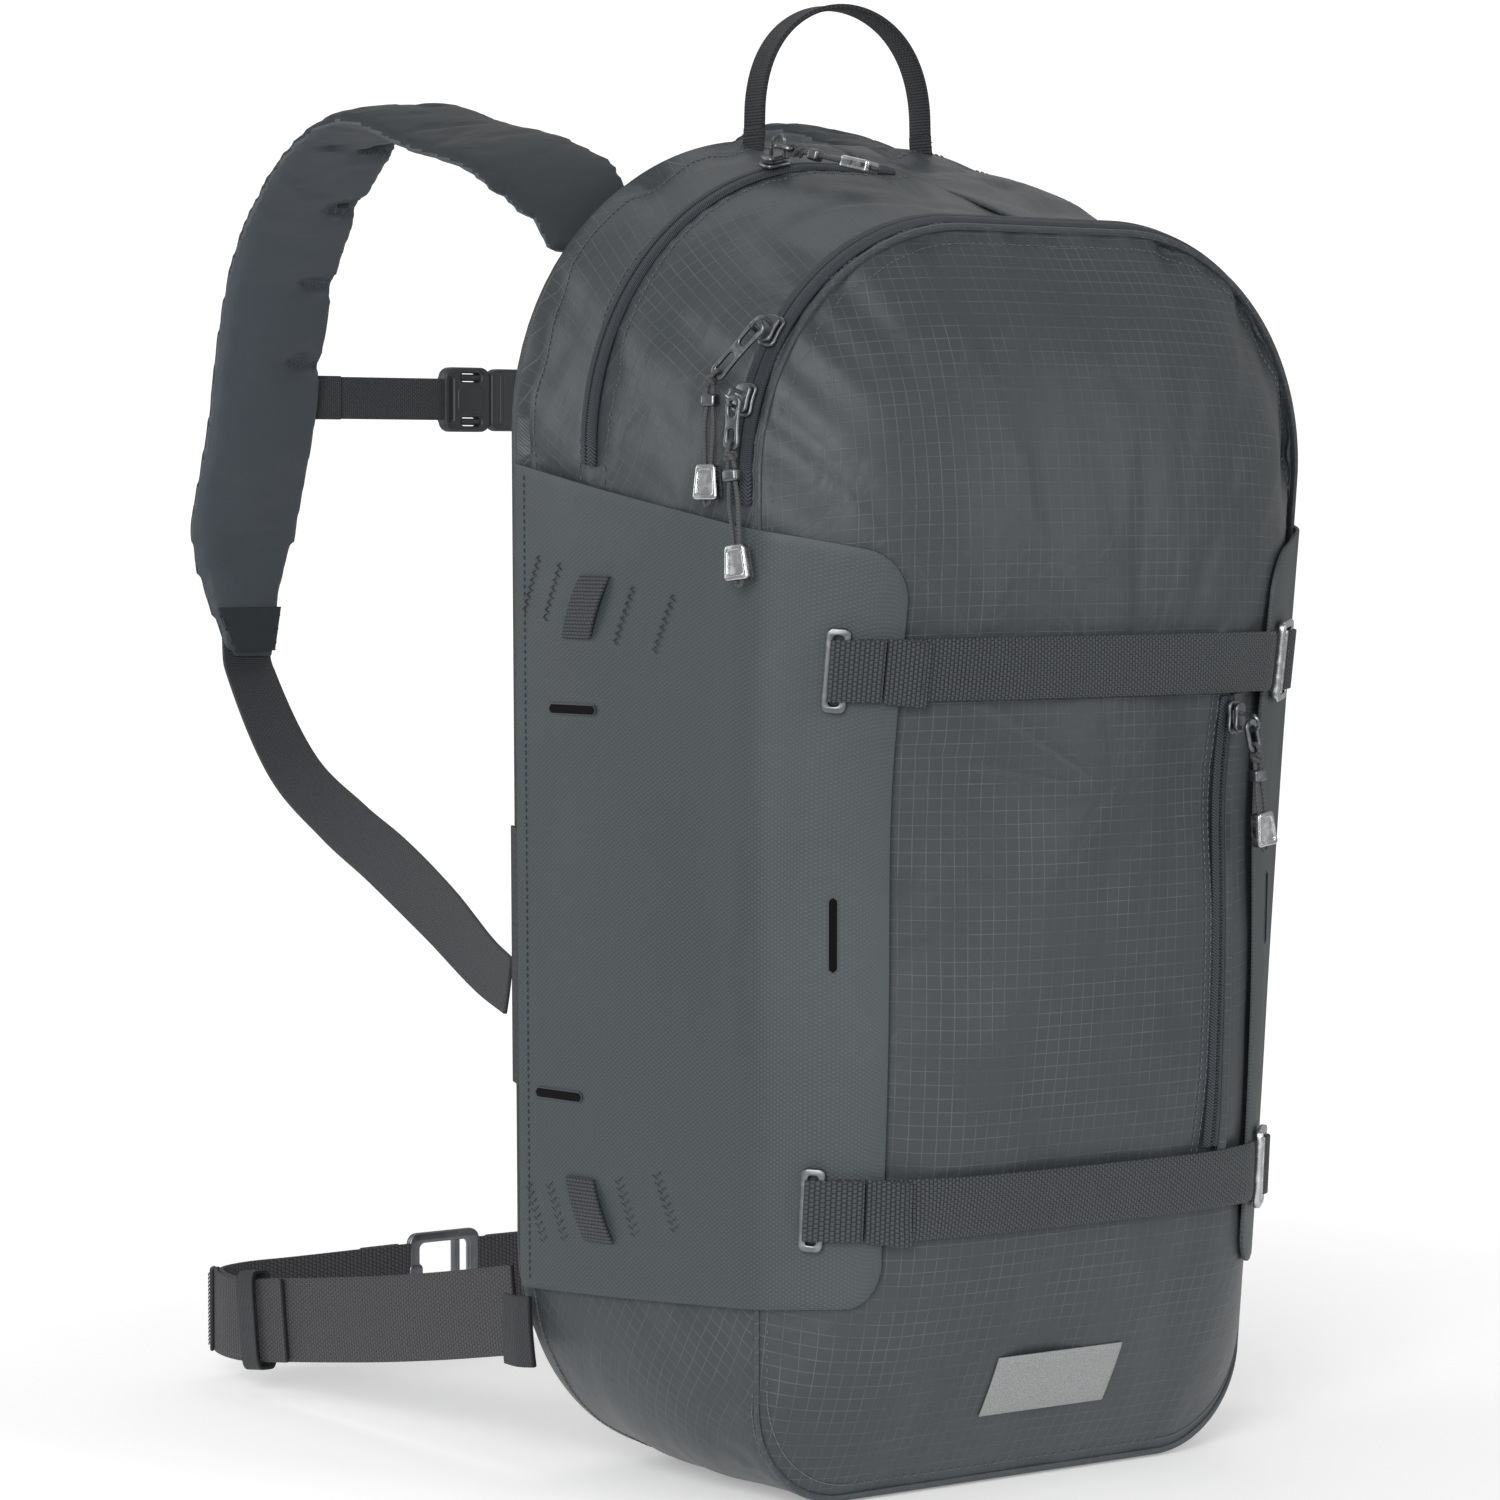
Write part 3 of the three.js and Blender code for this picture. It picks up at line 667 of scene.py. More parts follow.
def moulded(name, slot_name, ground, roughness=0.45):
    material, tree, shader, place, use = finish(name, slot_name)
    grain = add(tree, "ShaderNodeTexVoronoi", {"Vector": place["Object"], "Scale": 1400.0})
    shade = tint(tree, use["Patch"], shaded(ground, 0.85), shaded(ground, 1.15))
    tree.links.new(shade, shader.inputs["Base Color"])
    relief(tree, shader, [(grain.outputs[0], 0.06, 0.3)])
    set_shader(shader, Roughness=roughness)
    return material


def reflective(name, slot_name, ground):
    """Bead-coated reflective print: pale grey, with a fine sparkle."""
    material, tree, shader, place, _ = finish(name, slot_name)
    beads = add(tree, "ShaderNodeTexVoronoi", {"Vector": place["Object"], "Scale": 2200.0}).outputs[0]
    # The sparkle is painted: the base colour is paler at the bead centres, as painted glints.
    sparkle = soften(tree, beads, 0.1, 0.7)
    shade = tint(tree, sparkle, shaded(ground, 1.25), shaded(ground, 0.8))
    tree.links.new(shade, shader.inputs["Base Color"])
    rough = calc(tree, "ADD", 0.3, calc(tree, "MULTIPLY", sparkle, 0.25))
    tree.links.new(rough, shader.inputs["Roughness"])
    relief(tree, shader, [(beads, 0.05, 0.4)])
    set_shader(shader, Metallic=0.35)
    return material


# %% Mix the finishes of this pack
SLATE = (0.044, 0.051, 0.056)
PALE_SLATE = (0.088, 0.098, 0.106)
FRONT_CLOTH = ripstop("front ripstop", "shell_fabric", SLATE, PALE_SLATE)
SIDE_CLOTH = ripstop("side ripstop", "shell_fabric", (0.046, 0.054, 0.06), PALE_SLATE, turn=-24,
                     roughness=0.33, grid=0.85)
FLAP_CLOTH = coated("coated flap", "coated_fabric", (0.046, 0.056, 0.06))
STRAP_TOP = knit("strap cover", "strap_fabric", (0.03, 0.036, 0.041), sheen=0.05)
STRAP_LINING = knit("strap lining", "strap_fabric", (0.068, 0.08, 0.094), roughness=0.5, sheen=0.1)
SPACER = knit("back mesh", "lining_fabric", (0.03, 0.033, 0.037))
STRAP_WEB = webbing("compression webbing", "webbing", (0.052, 0.059, 0.066), gap=0.16, depth=0.9)
HIP_WEB = webbing("hip webbing", "webbing", (0.05, 0.05, 0.056), rib=2.1, gap=0.22, depth=0.8)
SMOOTH_WEB = webbing("smooth webbing", "webbing", (0.04, 0.045, 0.051), rib=1.1, gap=0.55, depth=0.3)
BLACK_WEB = webbing("haul webbing", "webbing", (0.02, 0.024, 0.03), rib=1.3)
ZIP_TAPE = tape("zip tape", "webbing", (0.06, 0.072, 0.088))
THREAD = thread("sewing thread", "webbing", (0.03, 0.034, 0.04))
PALE_THREAD = thread("pale thread", "webbing", (0.09, 0.1, 0.11))
CORD = thread("braided cord", "cord", (0.05, 0.053, 0.057))
COIL = moulded("zip coil", "webbing", (0.018, 0.02, 0.023), roughness=0.35)
STEEL = metal("polished steel", "polished_steel", (0.5, 0.51, 0.52), 0.24)
DARK_STEEL = metal("dark nickel", "dark_steel", (0.17, 0.18, 0.19), 0.34)
PLASTIC = moulded("moulded buckle", "polymer", (0.028, 0.031, 0.034))
SHEET = moulded("frame sheet", "polymer", (0.05, 0.053, 0.056), roughness=0.6)
LINING = ripstop("lining", "lining_fabric", (0.045, 0.05, 0.055), (0.07, 0.075, 0.08))
LABEL = reflective("reflective label", "coated_fabric", (0.3, 0.31, 0.31))
# Nearly black cloth with no sheen: painted shade, laid in the die-cut slots where the cloth below lies in
# shadow.
SLOT_SHADE = knit("painted slot shade", "coated_fabric", (0.001, 0.001, 0.001), roughness=1, sheen=0)

# %% [markdown]
# ## The bag's cloth
# The bag is a lofted shell: one long gusset runs right round it and a domed panel closes the front. Thin
# cloth over a light filling shows gathers beside each seam, soft folds across the corners and dents under
# the straps. A cloth simulation could find such folds, but it would move the seams that everything else is
# sewn to, so the folds are waves and noise that only ever sink into the fixed shape.

# %% Even steps round the bag
RING_STEPS = 480
GUSSET_WIDTH = 150  # of the cut strip, from the back edge to the front seam


def ring_table(depth):
    points = [wall(n / RING_STEPS, depth) for n in range(RING_STEPS + 1)]
    lengths = [0]
    for a, b in zip(points, points[1:]):
        lengths.append(lengths[-1] + (b - a).length)
    return lengths


SIDE_RING = ring_table(0.5)
FRONT_RING = ring_table(1)


def even(ring, u):
    """The f at a share u of the way round."""
    goal = (u % 1) * ring[-1]
    low, high = 0, RING_STEPS
    while high - low > 1:
        middle = (low + high) // 2
        if ring[middle] <= goal:
            low = middle
        else:
            high = middle
    return (low + (goal - ring[low]) / (ring[high] - ring[low])) / RING_STEPS


def girth(ring, f):
    spot = (f % 1) * RING_STEPS
    low = min(RING_STEPS - 1, int(spot))
    return mix(ring[low], ring[low + 1], spot - low)


print("gusset", round(SIDE_RING[-1]), "mm round, front seam", round(FRONT_RING[-1]), "mm")


# %% Folds and gathers, as depths below the smooth shape
def ripple(x, y, seed):
    return noise.noise(Vector((x, y, seed)))


def gathers(along, distance, pitch, reach):
    """Small folds that leave a seam at right angles and fade over their reach."""
    wave = math.sin(2 * math.pi * along / pitch + 3 * ripple(along / 31, 0.4, 2.7))
    uneven = 0.6 + 0.7 * ripple(along / 47, 1.9, 8.1)
    return max(0, 0.5 + 0.5 * wave) * uneven * math.exp(-((distance / reach) ** 2))


def side_sink(f, depth):
    along = girth(SIDE_RING, f)
    y = depth * GUSSET_WIDTH
    from_front_zip = abs(depth - FRONT_ZIP_DEPTH) * GUSSET_WIDTH
    from_rear_zip = abs(depth - REAR_ZIP_DEPTH) * GUSSET_WIDTH
    upper = 1 if f < 0.2 or f > 0.8 else 0.35
    sink = 1.5 * gathers(along, GUSSET_WIDTH - y, 16, 26) * upper
    sink += 1.3 * gathers(along + 4, from_rear_zip, 11, 12) * upper
    sink += 0.5 * gathers(along, y, 16, 14)
    fold = ripple(along / 26 + y / 60, y / 120, 4.2)
    cross = ripple(along / 60 - y / 45, y / 38, 9.6)
    sink += upper * (6.5 * max(0, fold) + 4.5 * max(0, cross)) + 1.5 * max(0, ripple(along / 90, y / 60, 1.3))
    return sink * min(1, from_front_zip / 9 + 0.12) * min(1, from_rear_zip / 10 + 0.15)


def front_sink(x, z, reach):
    f_angle = math.atan2(x, z - DOME_HEIGHT)
    distance = (1 - reach) * math.hypot(x, z - DOME_HEIGHT) / max(reach, 0.05)
    along = f_angle * 200
    upper = max(0, math.cos(f_angle)) ** 0.5
    sink = (0.5 + 2.8 * upper) * gathers(along, distance, 19, 26)
    drape = ripple(along / 24, distance / 90, 6.4)
    sink += 8.5 * upper * max(0, drape) * math.exp(-distance / 70)
    sink += 5 * max(0, ripple(x / 45 + z / 160, z / 120, 3.3)) + 2.4 * max(0, ripple(x / 24, z / 90, 7.7))
    for height in STRAP_HEIGHTS.values():
        pull = ripple(x / 20, (z - height) / 70, 5.9)
        sink += 1.5 * math.exp(-(((z - height) / 15) ** 2))
        sink += 1.2 * max(0, pull) * math.exp(-(((z - height) / 42) ** 2))
    return sink * min(1, distance / 5 + 0.15) * min(1, reach / 0.2)


def side_skin(f, depth):
    ahead = wall(f + 0.002, depth) - wall(f - 0.002, depth)
    out = Vector((ahead.z, 0, -ahead.x)).normalized()
    here = wall(f, depth)
    if out.x * here.x + out.z * (here.z - DOME_HEIGHT) < 0:
        out.negate()
    return here - out * side_sink(f % 1, depth)


def front_skin(x, z):
    here = front(x, z)
    here.y += front_sink(x, z, reach_of(x, z))
    return here


print("folds sink up to", round(max(front_sink(x, 440, 0.8) for x in range(-90, 91, 5)), 1), "mm")

# %% [markdown]
# ### Gusset
# One long strip, 150 mm wide, sewn into a ring. Its back edge rolls over a cord into the padded back, so
# the strip's first stretch follows a quarter ellipse.

# %% Make the gusset
ROLL = 0.07  # share of the gusset's depth that rolls into the back
ROLL_IN = 9  # how far the rolled edge turns in
CLOTH_THICK = 1.6


def gusset(u, v):
    f = even(SIDE_RING, u)
    if v >= ROLL:
        return side_skin(f, v)
    turn = v / ROLL * math.pi / 2
    edge = wall(f, ROLL * (1 - math.cos(turn)))
    reach = math.hypot(edge.x, edge.z - DOME_HEIGHT)
    share = 1 - ROLL_IN * (1 - math.sin(turn)) / reach
    return Vector((edge.x * share, edge.y, DOME_HEIGHT + (edge.z - DOME_HEIGHT) * share))


def panel_steps(round_it, outwards):
    share = 1
    return round(round_it * share), round(outwards * share)


gusset_bm = laid(gusset, (SIDE_RING[-1], GUSSET_WIDTH), panel_steps(460, 56), loop=True)
back_rim = [e for e in gusset_bm.edges if e.is_boundary and all(v.co.y > -20 for v in e.verts)]
bmesh.ops.holes_fill(gusset_bm, edges=back_rim, sides=0)
side = piece("gusset", gusset_bm, SIDE_CLOTH, "bag", ["bag_shell"], thick=CLOTH_THICK)
print("gusset", len(side.data.polygons), "faces")

# %% [markdown]
# ### Front panel
# The dome is laid out in rings from its middle, so that its folds can run straight in from the seam. The
# cut cloth is flat, and its grid of ripstop threads stays square: the UV map is the flat plan, stretched
# outwards as much as the dome is steeper there.

# %% Make the front panel
def dome_place(u, v):
    f = even(FRONT_RING, u)
    edge_x, edge_z = outline_point(FRONT, f)
    reach = mix(0.015, 1, v)
    return edge_x * reach, DOME_HEIGHT + (edge_z - DOME_HEIGHT) * reach, reach


def dome(u, v):
    x, z, reach = dome_place(u, v)
    return Vector((x, front_sink(x, z, reach) - wall_depth(z) - dome_rise(x, z, reach), z))


def dome_cut(u, v):
    x, z, reach = dome_place(u, v)
    flat = math.hypot(x, z - DOME_HEIGHT)
    edge = flat / reach
    steps = 10
    slopes = [3 * DOME * ((n + 0.5) / steps * reach) ** 2 / edge for n in range(steps)]
    longer = sum(math.hypot(1, slope) for slope in slopes) / steps
    return x * longer, (z - DOME_HEIGHT) * longer


dome_bm = laid(dome, dome_cut, panel_steps(420, 84), loop=True)
middle_rim = [e for e in dome_bm.edges if e.is_boundary and all(abs(v.co.x) < 20 for v in e.verts)]
middle_rim = [e for e in middle_rim if all(abs(v.co.z - DOME_HEIGHT) < 20 for v in e.verts)]
bmesh.ops.holes_fill(dome_bm, edges=middle_rim, sides=0)
panel = piece("front_cloth", dome_bm, FRONT_CLOTH, "bag", ["front_panel"], thick=CLOTH_THICK)
print("front panel", len(panel.data.polygons), "faces")

# %% [markdown]
# ### Seam piping and stitch rows
# The front seam is bound over a thin cord that stands a little proud, with a row of stitches on both
# sides. A row of stitches is one mesh of small beads: a drawn dashed line would vanish at an angle.

# %% Pipe the front seam
def seam_line(t):
    f = even(FRONT_RING, t)
    here = wall(f, 1)
    inward = 1.2 / math.hypot(here.x, here.z - DOME_HEIGHT)
    return Vector((here.x * (1 - inward), here.y - 0.8, DOME_HEIGHT + (here.z - DOME_HEIGHT) * (1 - inward)))


seam_line.length = FRONT_RING[-1]


def ring_tube(line, radius, steps, around_steps):
    def surface(u, v):
        here = line(v)
        out = Vector((here.x, 0, here.z - DOME_HEIGHT)).normalized()
        turn = 2 * math.pi * u
        return here + (out * math.cos(turn) + Vector((0, 1, 0)) * math.sin(turn)) * radius

    bm = laid(surface, (2 * math.pi * radius, line.length), (around_steps, steps), loop=True)
    bmesh.ops.recalc_face_normals(bm, faces=bm.faces)
    return bm


piece("seam_piping", ring_tube(seam_line, 1.7, 360, 8), SIDE_CLOTH, "bag")


PITCH = 3.4  # from one stitch to the next
THREAD_ROUND = 0.32
SEAM_ROWS = [(0.915, -0.21, 0.21, 2.4), (0.992, -0.21, 0.21, 2.4), (0.992, 0.21, 0.79, 2.4),
             (REAR_ZIP_DEPTH - 0.05, -0.19, -0.002, 2.4), (REAR_ZIP_DEPTH + 0.055, -0.19, -0.002, 2.4),
             (0.1, 0.52, 0.98, 2.6), (0.1, 0.02, 0.48, 2.6)]  # depth, start and end as f, stitch length

seam_threads = bmesh.new()
for depth, low, high, length in SEAM_ROWS:
    row = along_surface(side_skin, (low, depth), (high, depth), PITCH, 0.25)
    stitches(seam_threads, row, length, THREAD_ROUND)
piece("seam_stitches", seam_threads, PALE_THREAD, "bag")


def dome_row(share, low, high):
    def surface(u, v):
        edge_x, edge_z = outline_point(FRONT, u % 1)
        x, z = edge_x * v, DOME_HEIGHT + (edge_z - DOME_HEIGHT) * v
        return Vector((x, front_sink(x, z, v) - wall_depth(z) - dome_rise(x, z, v), z))

    return along_surface(surface, (low, share), (high, share), PITCH, 0.2)


dome_threads = bmesh.new()
for share, low, high in ((0.965, -0.2, 0.2), (0.975, 0.2, 0.8)):
    stitches(dome_threads, dome_row(share, low, high), 2.4, 0.3)
piece("front_stitches", dome_threads, PALE_THREAD, "bag")
print("seams sewn")

# %% [markdown]
# ## Zips
# The front and rear openings have reversed coil zips: two herringbone tapes meet in a thin groove and the
# coil is hidden behind. The pocket's coil shows. Each tape is a narrow crowned strip with that groove
# pressed into it.

# %% Zip tapes
def zip_lift(height, groove, groove_half):
    def lift(u, v):
        off = abs(2 * u - 1)
        crown = height * (1 - off**6)
        return crown - (groove if off < groove_half else 0)

    return lift


FRONT_ZIP_END = 0.176  # its ends, as f, on both sides of the top
REAR_ZIP_ENDS = (0.995, 0.826)
POCKET_ZIP_ENDS = (140, 328)  # heights


def front_zip(u, v):
    return wall(mix(FRONT_ZIP_END, -FRONT_ZIP_END, v), FRONT_ZIP_DEPTH + mix(-0.036, 0.036, u))


def rear_zip(u, v):
    return wall(mix(*REAR_ZIP_ENDS, v), REAR_ZIP_DEPTH + mix(-0.032, 0.032, u))


def pocket_zip(u, v):
    return front(POCKET_ZIP_X + 9 * (u - 0.5), mix(*POCKET_ZIP_ENDS, v))


piece("front_zip_tape", laid(front_zip, (10.8, 640), (28, 240), zip_lift(1.9, 1.1, 0.06)), ZIP_TAPE, "bag",
      ["front_zip"], thick=1.4)
piece("rear_zip_tape", laid(rear_zip, (9, 300), (26, 130), zip_lift(1.7, 1.3, 0.12)), ZIP_TAPE, "bag",
      ["rear_zip"], thick=1.2)
piece("pocket_zip_tape", laid(pocket_zip, (9, 188), (24, 90), zip_lift(1.6, 0.9, 0.3)), ZIP_TAPE, "bag",
      ["pocket_zip"], thick=1.2)


# %% Coils and the rows that hold the tapes
def coil(name, surface, pitch, width, lift):
    bm = bmesh.new()
    places = []
    for middle, along, out in along_surface(surface, (0.5, 0.004), (0.5, 0.996), pitch, lift):
        places.append((middle, along.cross(out), out))
    stitches(bm, places, width, pitch * 0.34)
    return piece(name, bm, COIL, "bag")


coil("pocket_coil", pocket_zip, 1.5, 3.4, 1.0)
coil("rear_coil", rear_zip, 1.3, 1.5, 0.9)
coil("front_coil", front_zip, 1.4, 1.0, 1.0)

POCKET_LOW, POCKET_HIGH = 134, 330
pocket_threads = bmesh.new()
for aside in (-9.5, -6, 6, 9.5):
    x = POCKET_ZIP_X + aside
    places = along_surface(front_skin, (x, POCKET_LOW), (x, POCKET_HIGH), 3.2, 0.3)
    stitches(pocket_threads, places, 2.2, 0.3)
for z in (POCKET_LOW, POCKET_HIGH):
    places = along_surface(front_skin, (POCKET_ZIP_X - 9, z), (POCKET_ZIP_X + 9, z), 2, 0.3)
    stitches(pocket_threads, places, 1.6, 0.3)
piece("pocket_stitches", pocket_threads, PALE_THREAD, "bag")


def pocket_welt(u, v):
    """The folded lip of cloth beside the pocket's zip."""
    return front(mix(POCKET_ZIP_X + 4.6, POCKET_ZIP_X + 11, u), mix(136, POCKET_HIGH, v))


def welt_lift(u, v):
    return 0.4 + 1.7 * math.sin(math.pi * min(1, u * 1.1)) ** 0.6


piece("pocket_welt", laid(pocket_welt, (6.4, 194), (8, 60), welt_lift), FRONT_CLOTH, "bag", thick=1)
print("three zips laid")

# %% [markdown]
# ## Side flaps
# Two panels of coated cloth carry the skis' pull. Each is one cut piece with rounded front corners, sewn
# along the back edge and held down by the straps. Its slots are die-cut, so they show a dark gap with a
# clean lip; that gap is a near-black sheet of painted shade. Each webbing loop sits between four slanted
# bartacks.

# %% Lay the flaps
FLAP_CORNER = 18
FLAP_WIDTH = 195
FLAP_HEIGHT = 330
SIDES = (("left", -1), ("right", 1))


def flap(side_sign, s, rise):
    low, high = 80 + 6 * s, 424 - 38 * s
    past = max(0, (s - 1) * FLAP_WIDTH + FLAP_CORNER)
    cut = FLAP_CORNER - math.sqrt(FLAP_CORNER**2 - min(past, FLAP_CORNER * 0.999) ** 2)
    z = mix(low + cut, high - cut, rise)
    spread = 0.05 if 0.56 < s < 0.84 else 0
    near = [around(side_sign, z, s + spread * n / 3) for n in (-3, -2, -1, 0, 1, 2, 3)]
    return sum(near, Vector()) / len(near)


def flap_edge(u):
    """Bunches the grid's columns towards the rounded front corners."""
    return u if u < 0.8 else 0.8 + 0.2 * math.sin((u - 0.8) / 0.2 * math.pi / 2)


def flap_lift(side_sign):
    def lift(u, v):
        slack = 0.5 * ripple(u * 3.1, v * 4.2, 5.5 + side_sign)
        loose = 1.1 * math.sin(math.pi * v) ** 2 * max(0, flap_edge(u) - 0.72) / 0.28
        corner = 1.5 * math.exp(-(((flap_edge(u) - 0.7) / 0.07) ** 2))
        return FLAP_LIFT + FLAP_THICK + corner + max(-0.4, slack) * math.sin(math.pi * u) + loose * 0.8

    return lift


for name, side_sign in SIDES:
    bm = laid(lambda u, v: flap(side_sign, flap_edge(u), v), (FLAP_WIDTH, FLAP_HEIGHT), (60, 70),
              flap_lift(side_sign))
    piece(f"{name}_side_flap", bm, FLAP_CLOTH, "bag", [f"{name}_flap"], thick=CLOTH_THICK, bevel=0.5)
print("flaps", FLAP_WIDTH, "mm wide")


# %% Die-cut slots
def lens_patch(surface, size, length, width, lift):
    """A long patch with round ends on surface(a, b), which takes millimetres from the patch's middle."""
    def place(u, v):
        a = (v - 0.5) * length
        past = max(0, abs(a) - (length - width) / 2)
        half = math.sqrt(max(0, (width / 2) ** 2 - past**2))
        return surface((u - 0.5) * 2 * half, a)

    return laid(place, size, (6, 28), lift)


def on_flap(side_sign, s, z, upright):
    def surface(a, b):
        if upright:
            return around(side_sign, z + b, s + a / FLAP_WIDTH)
        return around(side_sign, z + a, s + b / FLAP_WIDTH)

    return surface


# Each slot's place round the flap and its height, whether it stands upright, and its length.
SLOTS_CUT = {"upper": (0.198, 323, False, 28), "lower": (0.144, 163, False, 29),
             "front": (0.87, 236, True, 29)}
FLAP_TOP = FLAP_LIFT + FLAP_THICK
for name, side_sign in SIDES:
    for spot, (s, z, upright, length) in SLOTS_CUT.items():
        at = on_flap(side_sign, s, z, upright)
        gap = lens_patch(at, (3.6, length), length + 1, 3.6, FLAP_TOP + 0.95)
        lip = lens_patch(at, (5, length), length + 2, 4.6, FLAP_TOP + 0.8)
        # Each slot's gap is a near-black sheet: painted shade in place of the shadowed cloth under the cut.
        piece(f"{name}_{spot}_slot", gap, SLOT_SHADE, "bag", thick=0.3)
        piece(f"{name}_{spot}_slot_lip", lip, FLAP_CLOTH, "bag", thick=0.6, bevel=0.25)
print(len(SLOTS_CUT), "slots on each flap")

# %% Loops and bartacks on the flaps
LOOP = (17.5, 26)  # its width and height
LOOP_MIDDLE = 0.245
TILT = 0.028  # how far round the flap a loop's lower end leans, as s for each 12 mm of height


def leaning(side_sign, s, z, lean):
    def surface(a, b):
        return around(side_sign, z + b, s + a / FLAP_WIDTH + lean * TILT * b / 12)

    return surface


def bartack(bm, surface, length):
    """Dense zigzag stitches along surface(0, b)."""
    places = []
    count = round(length / 1.5)
    for n in range(count):
        b = (n + 0.5) / count * length - length / 2
        side_step = 1.3 if n % 2 else -1.3
        here, ahead = surface(-side_step, b - 0.7), surface(side_step, b + 0.7)
        along = (ahead - here).normalized()
        out = here - BAG_MIDDLE
        out = out - along * out.dot(along)
        out.z = 0
        out.normalize()
        places.append(((here + ahead) / 2 + out * (FLAP_TOP + 0.5), ahead - here, out))
    stitches(bm, places, 3.6, 0.34)


for name, side_sign in SIDES:
    tacks = bmesh.new()
    for level, z, lean, shifts in (("upper", 365, 1, (9, 6, -3, -6)), ("lower", 117, -1, (-5, -3, 3, 7))):
        at = leaning(side_sign, LOOP_MIDDLE, z, lean)
        bm = laid(lambda u, v: at((u - 0.5) * LOOP[0], (v - 0.5) * LOOP[1]), LOOP, (8, 14),
                  lambda u, v: STRAP_LIFT + WEBBING_THICK - 1.2 + 1.6 * math.sin(math.pi * v) ** 0.7)
        piece(f"{name}_{level}_webbing_loop", bm, STRAP_WEB, "bag", [f"{name}_{level}_loop"],
              thick=1.6, bevel=0.4)
        for offset, shift in zip((-36, -22, 22, 44), shifts):
            spot = LOOP_MIDDLE + offset / FLAP_WIDTH
            bartack(tacks, leaning(side_sign, max(0.03, spot), z + shift, lean), 24)
    edge_rows = along_surface(lambda u, v: flap(side_sign, u, v), (0.035, 0.01), (0.035, 0.99), 3, 3.1)
    stitches(tacks, edge_rows, 2.2, 0.3)
    piece(f"{name}_flap_stitches", tacks, THREAD, "bag")

# %% [markdown]
# ### Label
# The real pack has a reflective patch low on the front. Here it is a blank one: a thin heat-pressed
# rectangle with rounded corners and a glued rim.

# %% Press the label on
LABEL_WIDTH, LABEL_HEIGHT = 66, 26
LABEL_RIM = 1.6


def label_patch(u, v):
    return front(4 + LABEL_WIDTH * (u - 0.5), 32 + LABEL_HEIGHT * v)


def label_lift(u, v):
    from_edge = min(min(u, 1 - u) * LABEL_WIDTH, min(v, 1 - v) * LABEL_HEIGHT)
    return 0.9 + (0.25 if from_edge > LABEL_RIM else 0)


label = laid(label_patch, (LABEL_WIDTH, LABEL_HEIGHT), (44, 20), label_lift)
piece("blank_label", label, LABEL, "bag", ["front_label"], thick=0.7, bevel=0.2)
print("label", LABEL_WIDTH, "x", LABEL_HEIGHT, "mm")

# %% [markdown]
# ## Cast buckles
# The hooks, ladder buckles, zip pulls and tags are small castings with holes and softened edges. A flat
# curve with holes, thickened and bevelled, gives such a plate in one step, and keeps the edge radius even.

# %% A plate with holes
def rounded(width, height, radius, middle=(0, 0), waist=0.0, taper=0.0):
    """Points of a rounded rectangle. waist narrows its middle and taper its top."""
    points = []
    for quarter in range(4):
        x = (width / 2 - radius) * (1 if quarter in (0, 3) else -1)
        y = (height / 2 - radius) * (1 if quarter in (0, 1) else -1)
        for n in range(7):
            turn = (quarter + n / 6) * math.pi / 2
            points.append((x + radius * math.cos(turn), y + radius * math.sin(turn)))
    shaped = []
    for a, b in zip(points, points[1:] + points[:1]):
        steps = max(1, round(math.dist(a, b) / 2))
        for n in range(steps):
            x, y = mix(a[0], b[0], n / steps), mix(a[1], b[1], n / steps)
            narrow = 1 - waist * math.cos(math.pi * y / height) ** 2 - taper * y / height
            shaped.append((middle[0] + x * narrow, middle[1] + y))
    return shaped


def cast(outline, holes, thick, soft):
    """A plate in the XY plane, centred on its thickness, with softened edges."""
    flat = bpy.data.curves.new("outline", "CURVE")
    flat.dimensions = "2D"
    flat.fill_mode = "BOTH"
    flat.extrude = thick / 2 - soft
    flat.bevel_depth = soft
    flat.bevel_resolution = 2
    flat.offset = -soft
    for points in [outline, *holes]:
        line = flat.splines.new("POLY")
        line.points.add(len(points) - 1)
        for point, (x, y) in zip(line.points, points):
            point.co = (x, y, 0, 1)
        line.use_cyclic_u = True
    holder = bpy.data.objects.new("outline", flat)
    bpy.context.scene.collection.objects.link(holder)
    solid = bpy.data.meshes.new_from_object(holder.evaluated_get(bpy.context.evaluated_depsgraph_get()))
    bpy.data.objects.remove(holder)
    bm = bmesh.new()
    bm.from_mesh(solid)
    bmesh.ops.remove_doubles(bm, verts=bm.verts, dist=0.01)
    bmesh.ops.recalc_face_normals(bm, faces=bm.faces)
    return bm


def join(bm, more, matrix=None):
    """Adds another bmesh, moved by a matrix, to this one."""
    if matrix:
        bmesh.ops.transform(more, matrix=matrix, verts=more.verts)
    spare = bpy.data.meshes.new("spare")
    more.to_mesh(spare)
    more.free()
    bm.from_mesh(spare)
    bpy.data.meshes.remove(spare)
    return bm


def standing(down, out, at):
    """The turn that sets a drawing's -Y along down and its +Z along out, at a place."""
    y = -down.normalized()
    z = (out - y * out.dot(y)).normalized()
    return Matrix.Translation(at) @ Matrix((y.cross(z), y, z)).transposed().to_4x4()


def on_front(x, z):
    """A place on the front panel, with its downward and its outward direction."""
    here = front(x, z)
    down = (front(x, z - 1) - here).normalized()
    out = down.cross(front(x + 1, z) - here).normalized()
    if out.dot(here - BAG_MIDDLE) < 0:
        out.negate()
    return here, down, out


print("casting tools ready")

# %% [markdown]
# ## Compression straps
# Each strap ends in a folded, sewn tab at its metal hook, runs close over the panel, and meets a ladder
# buckle whose far bar is held by webbing from the other flap. The strap is a flat ribbon laid on the dome,
# because a simulation would lose its crisp edges.

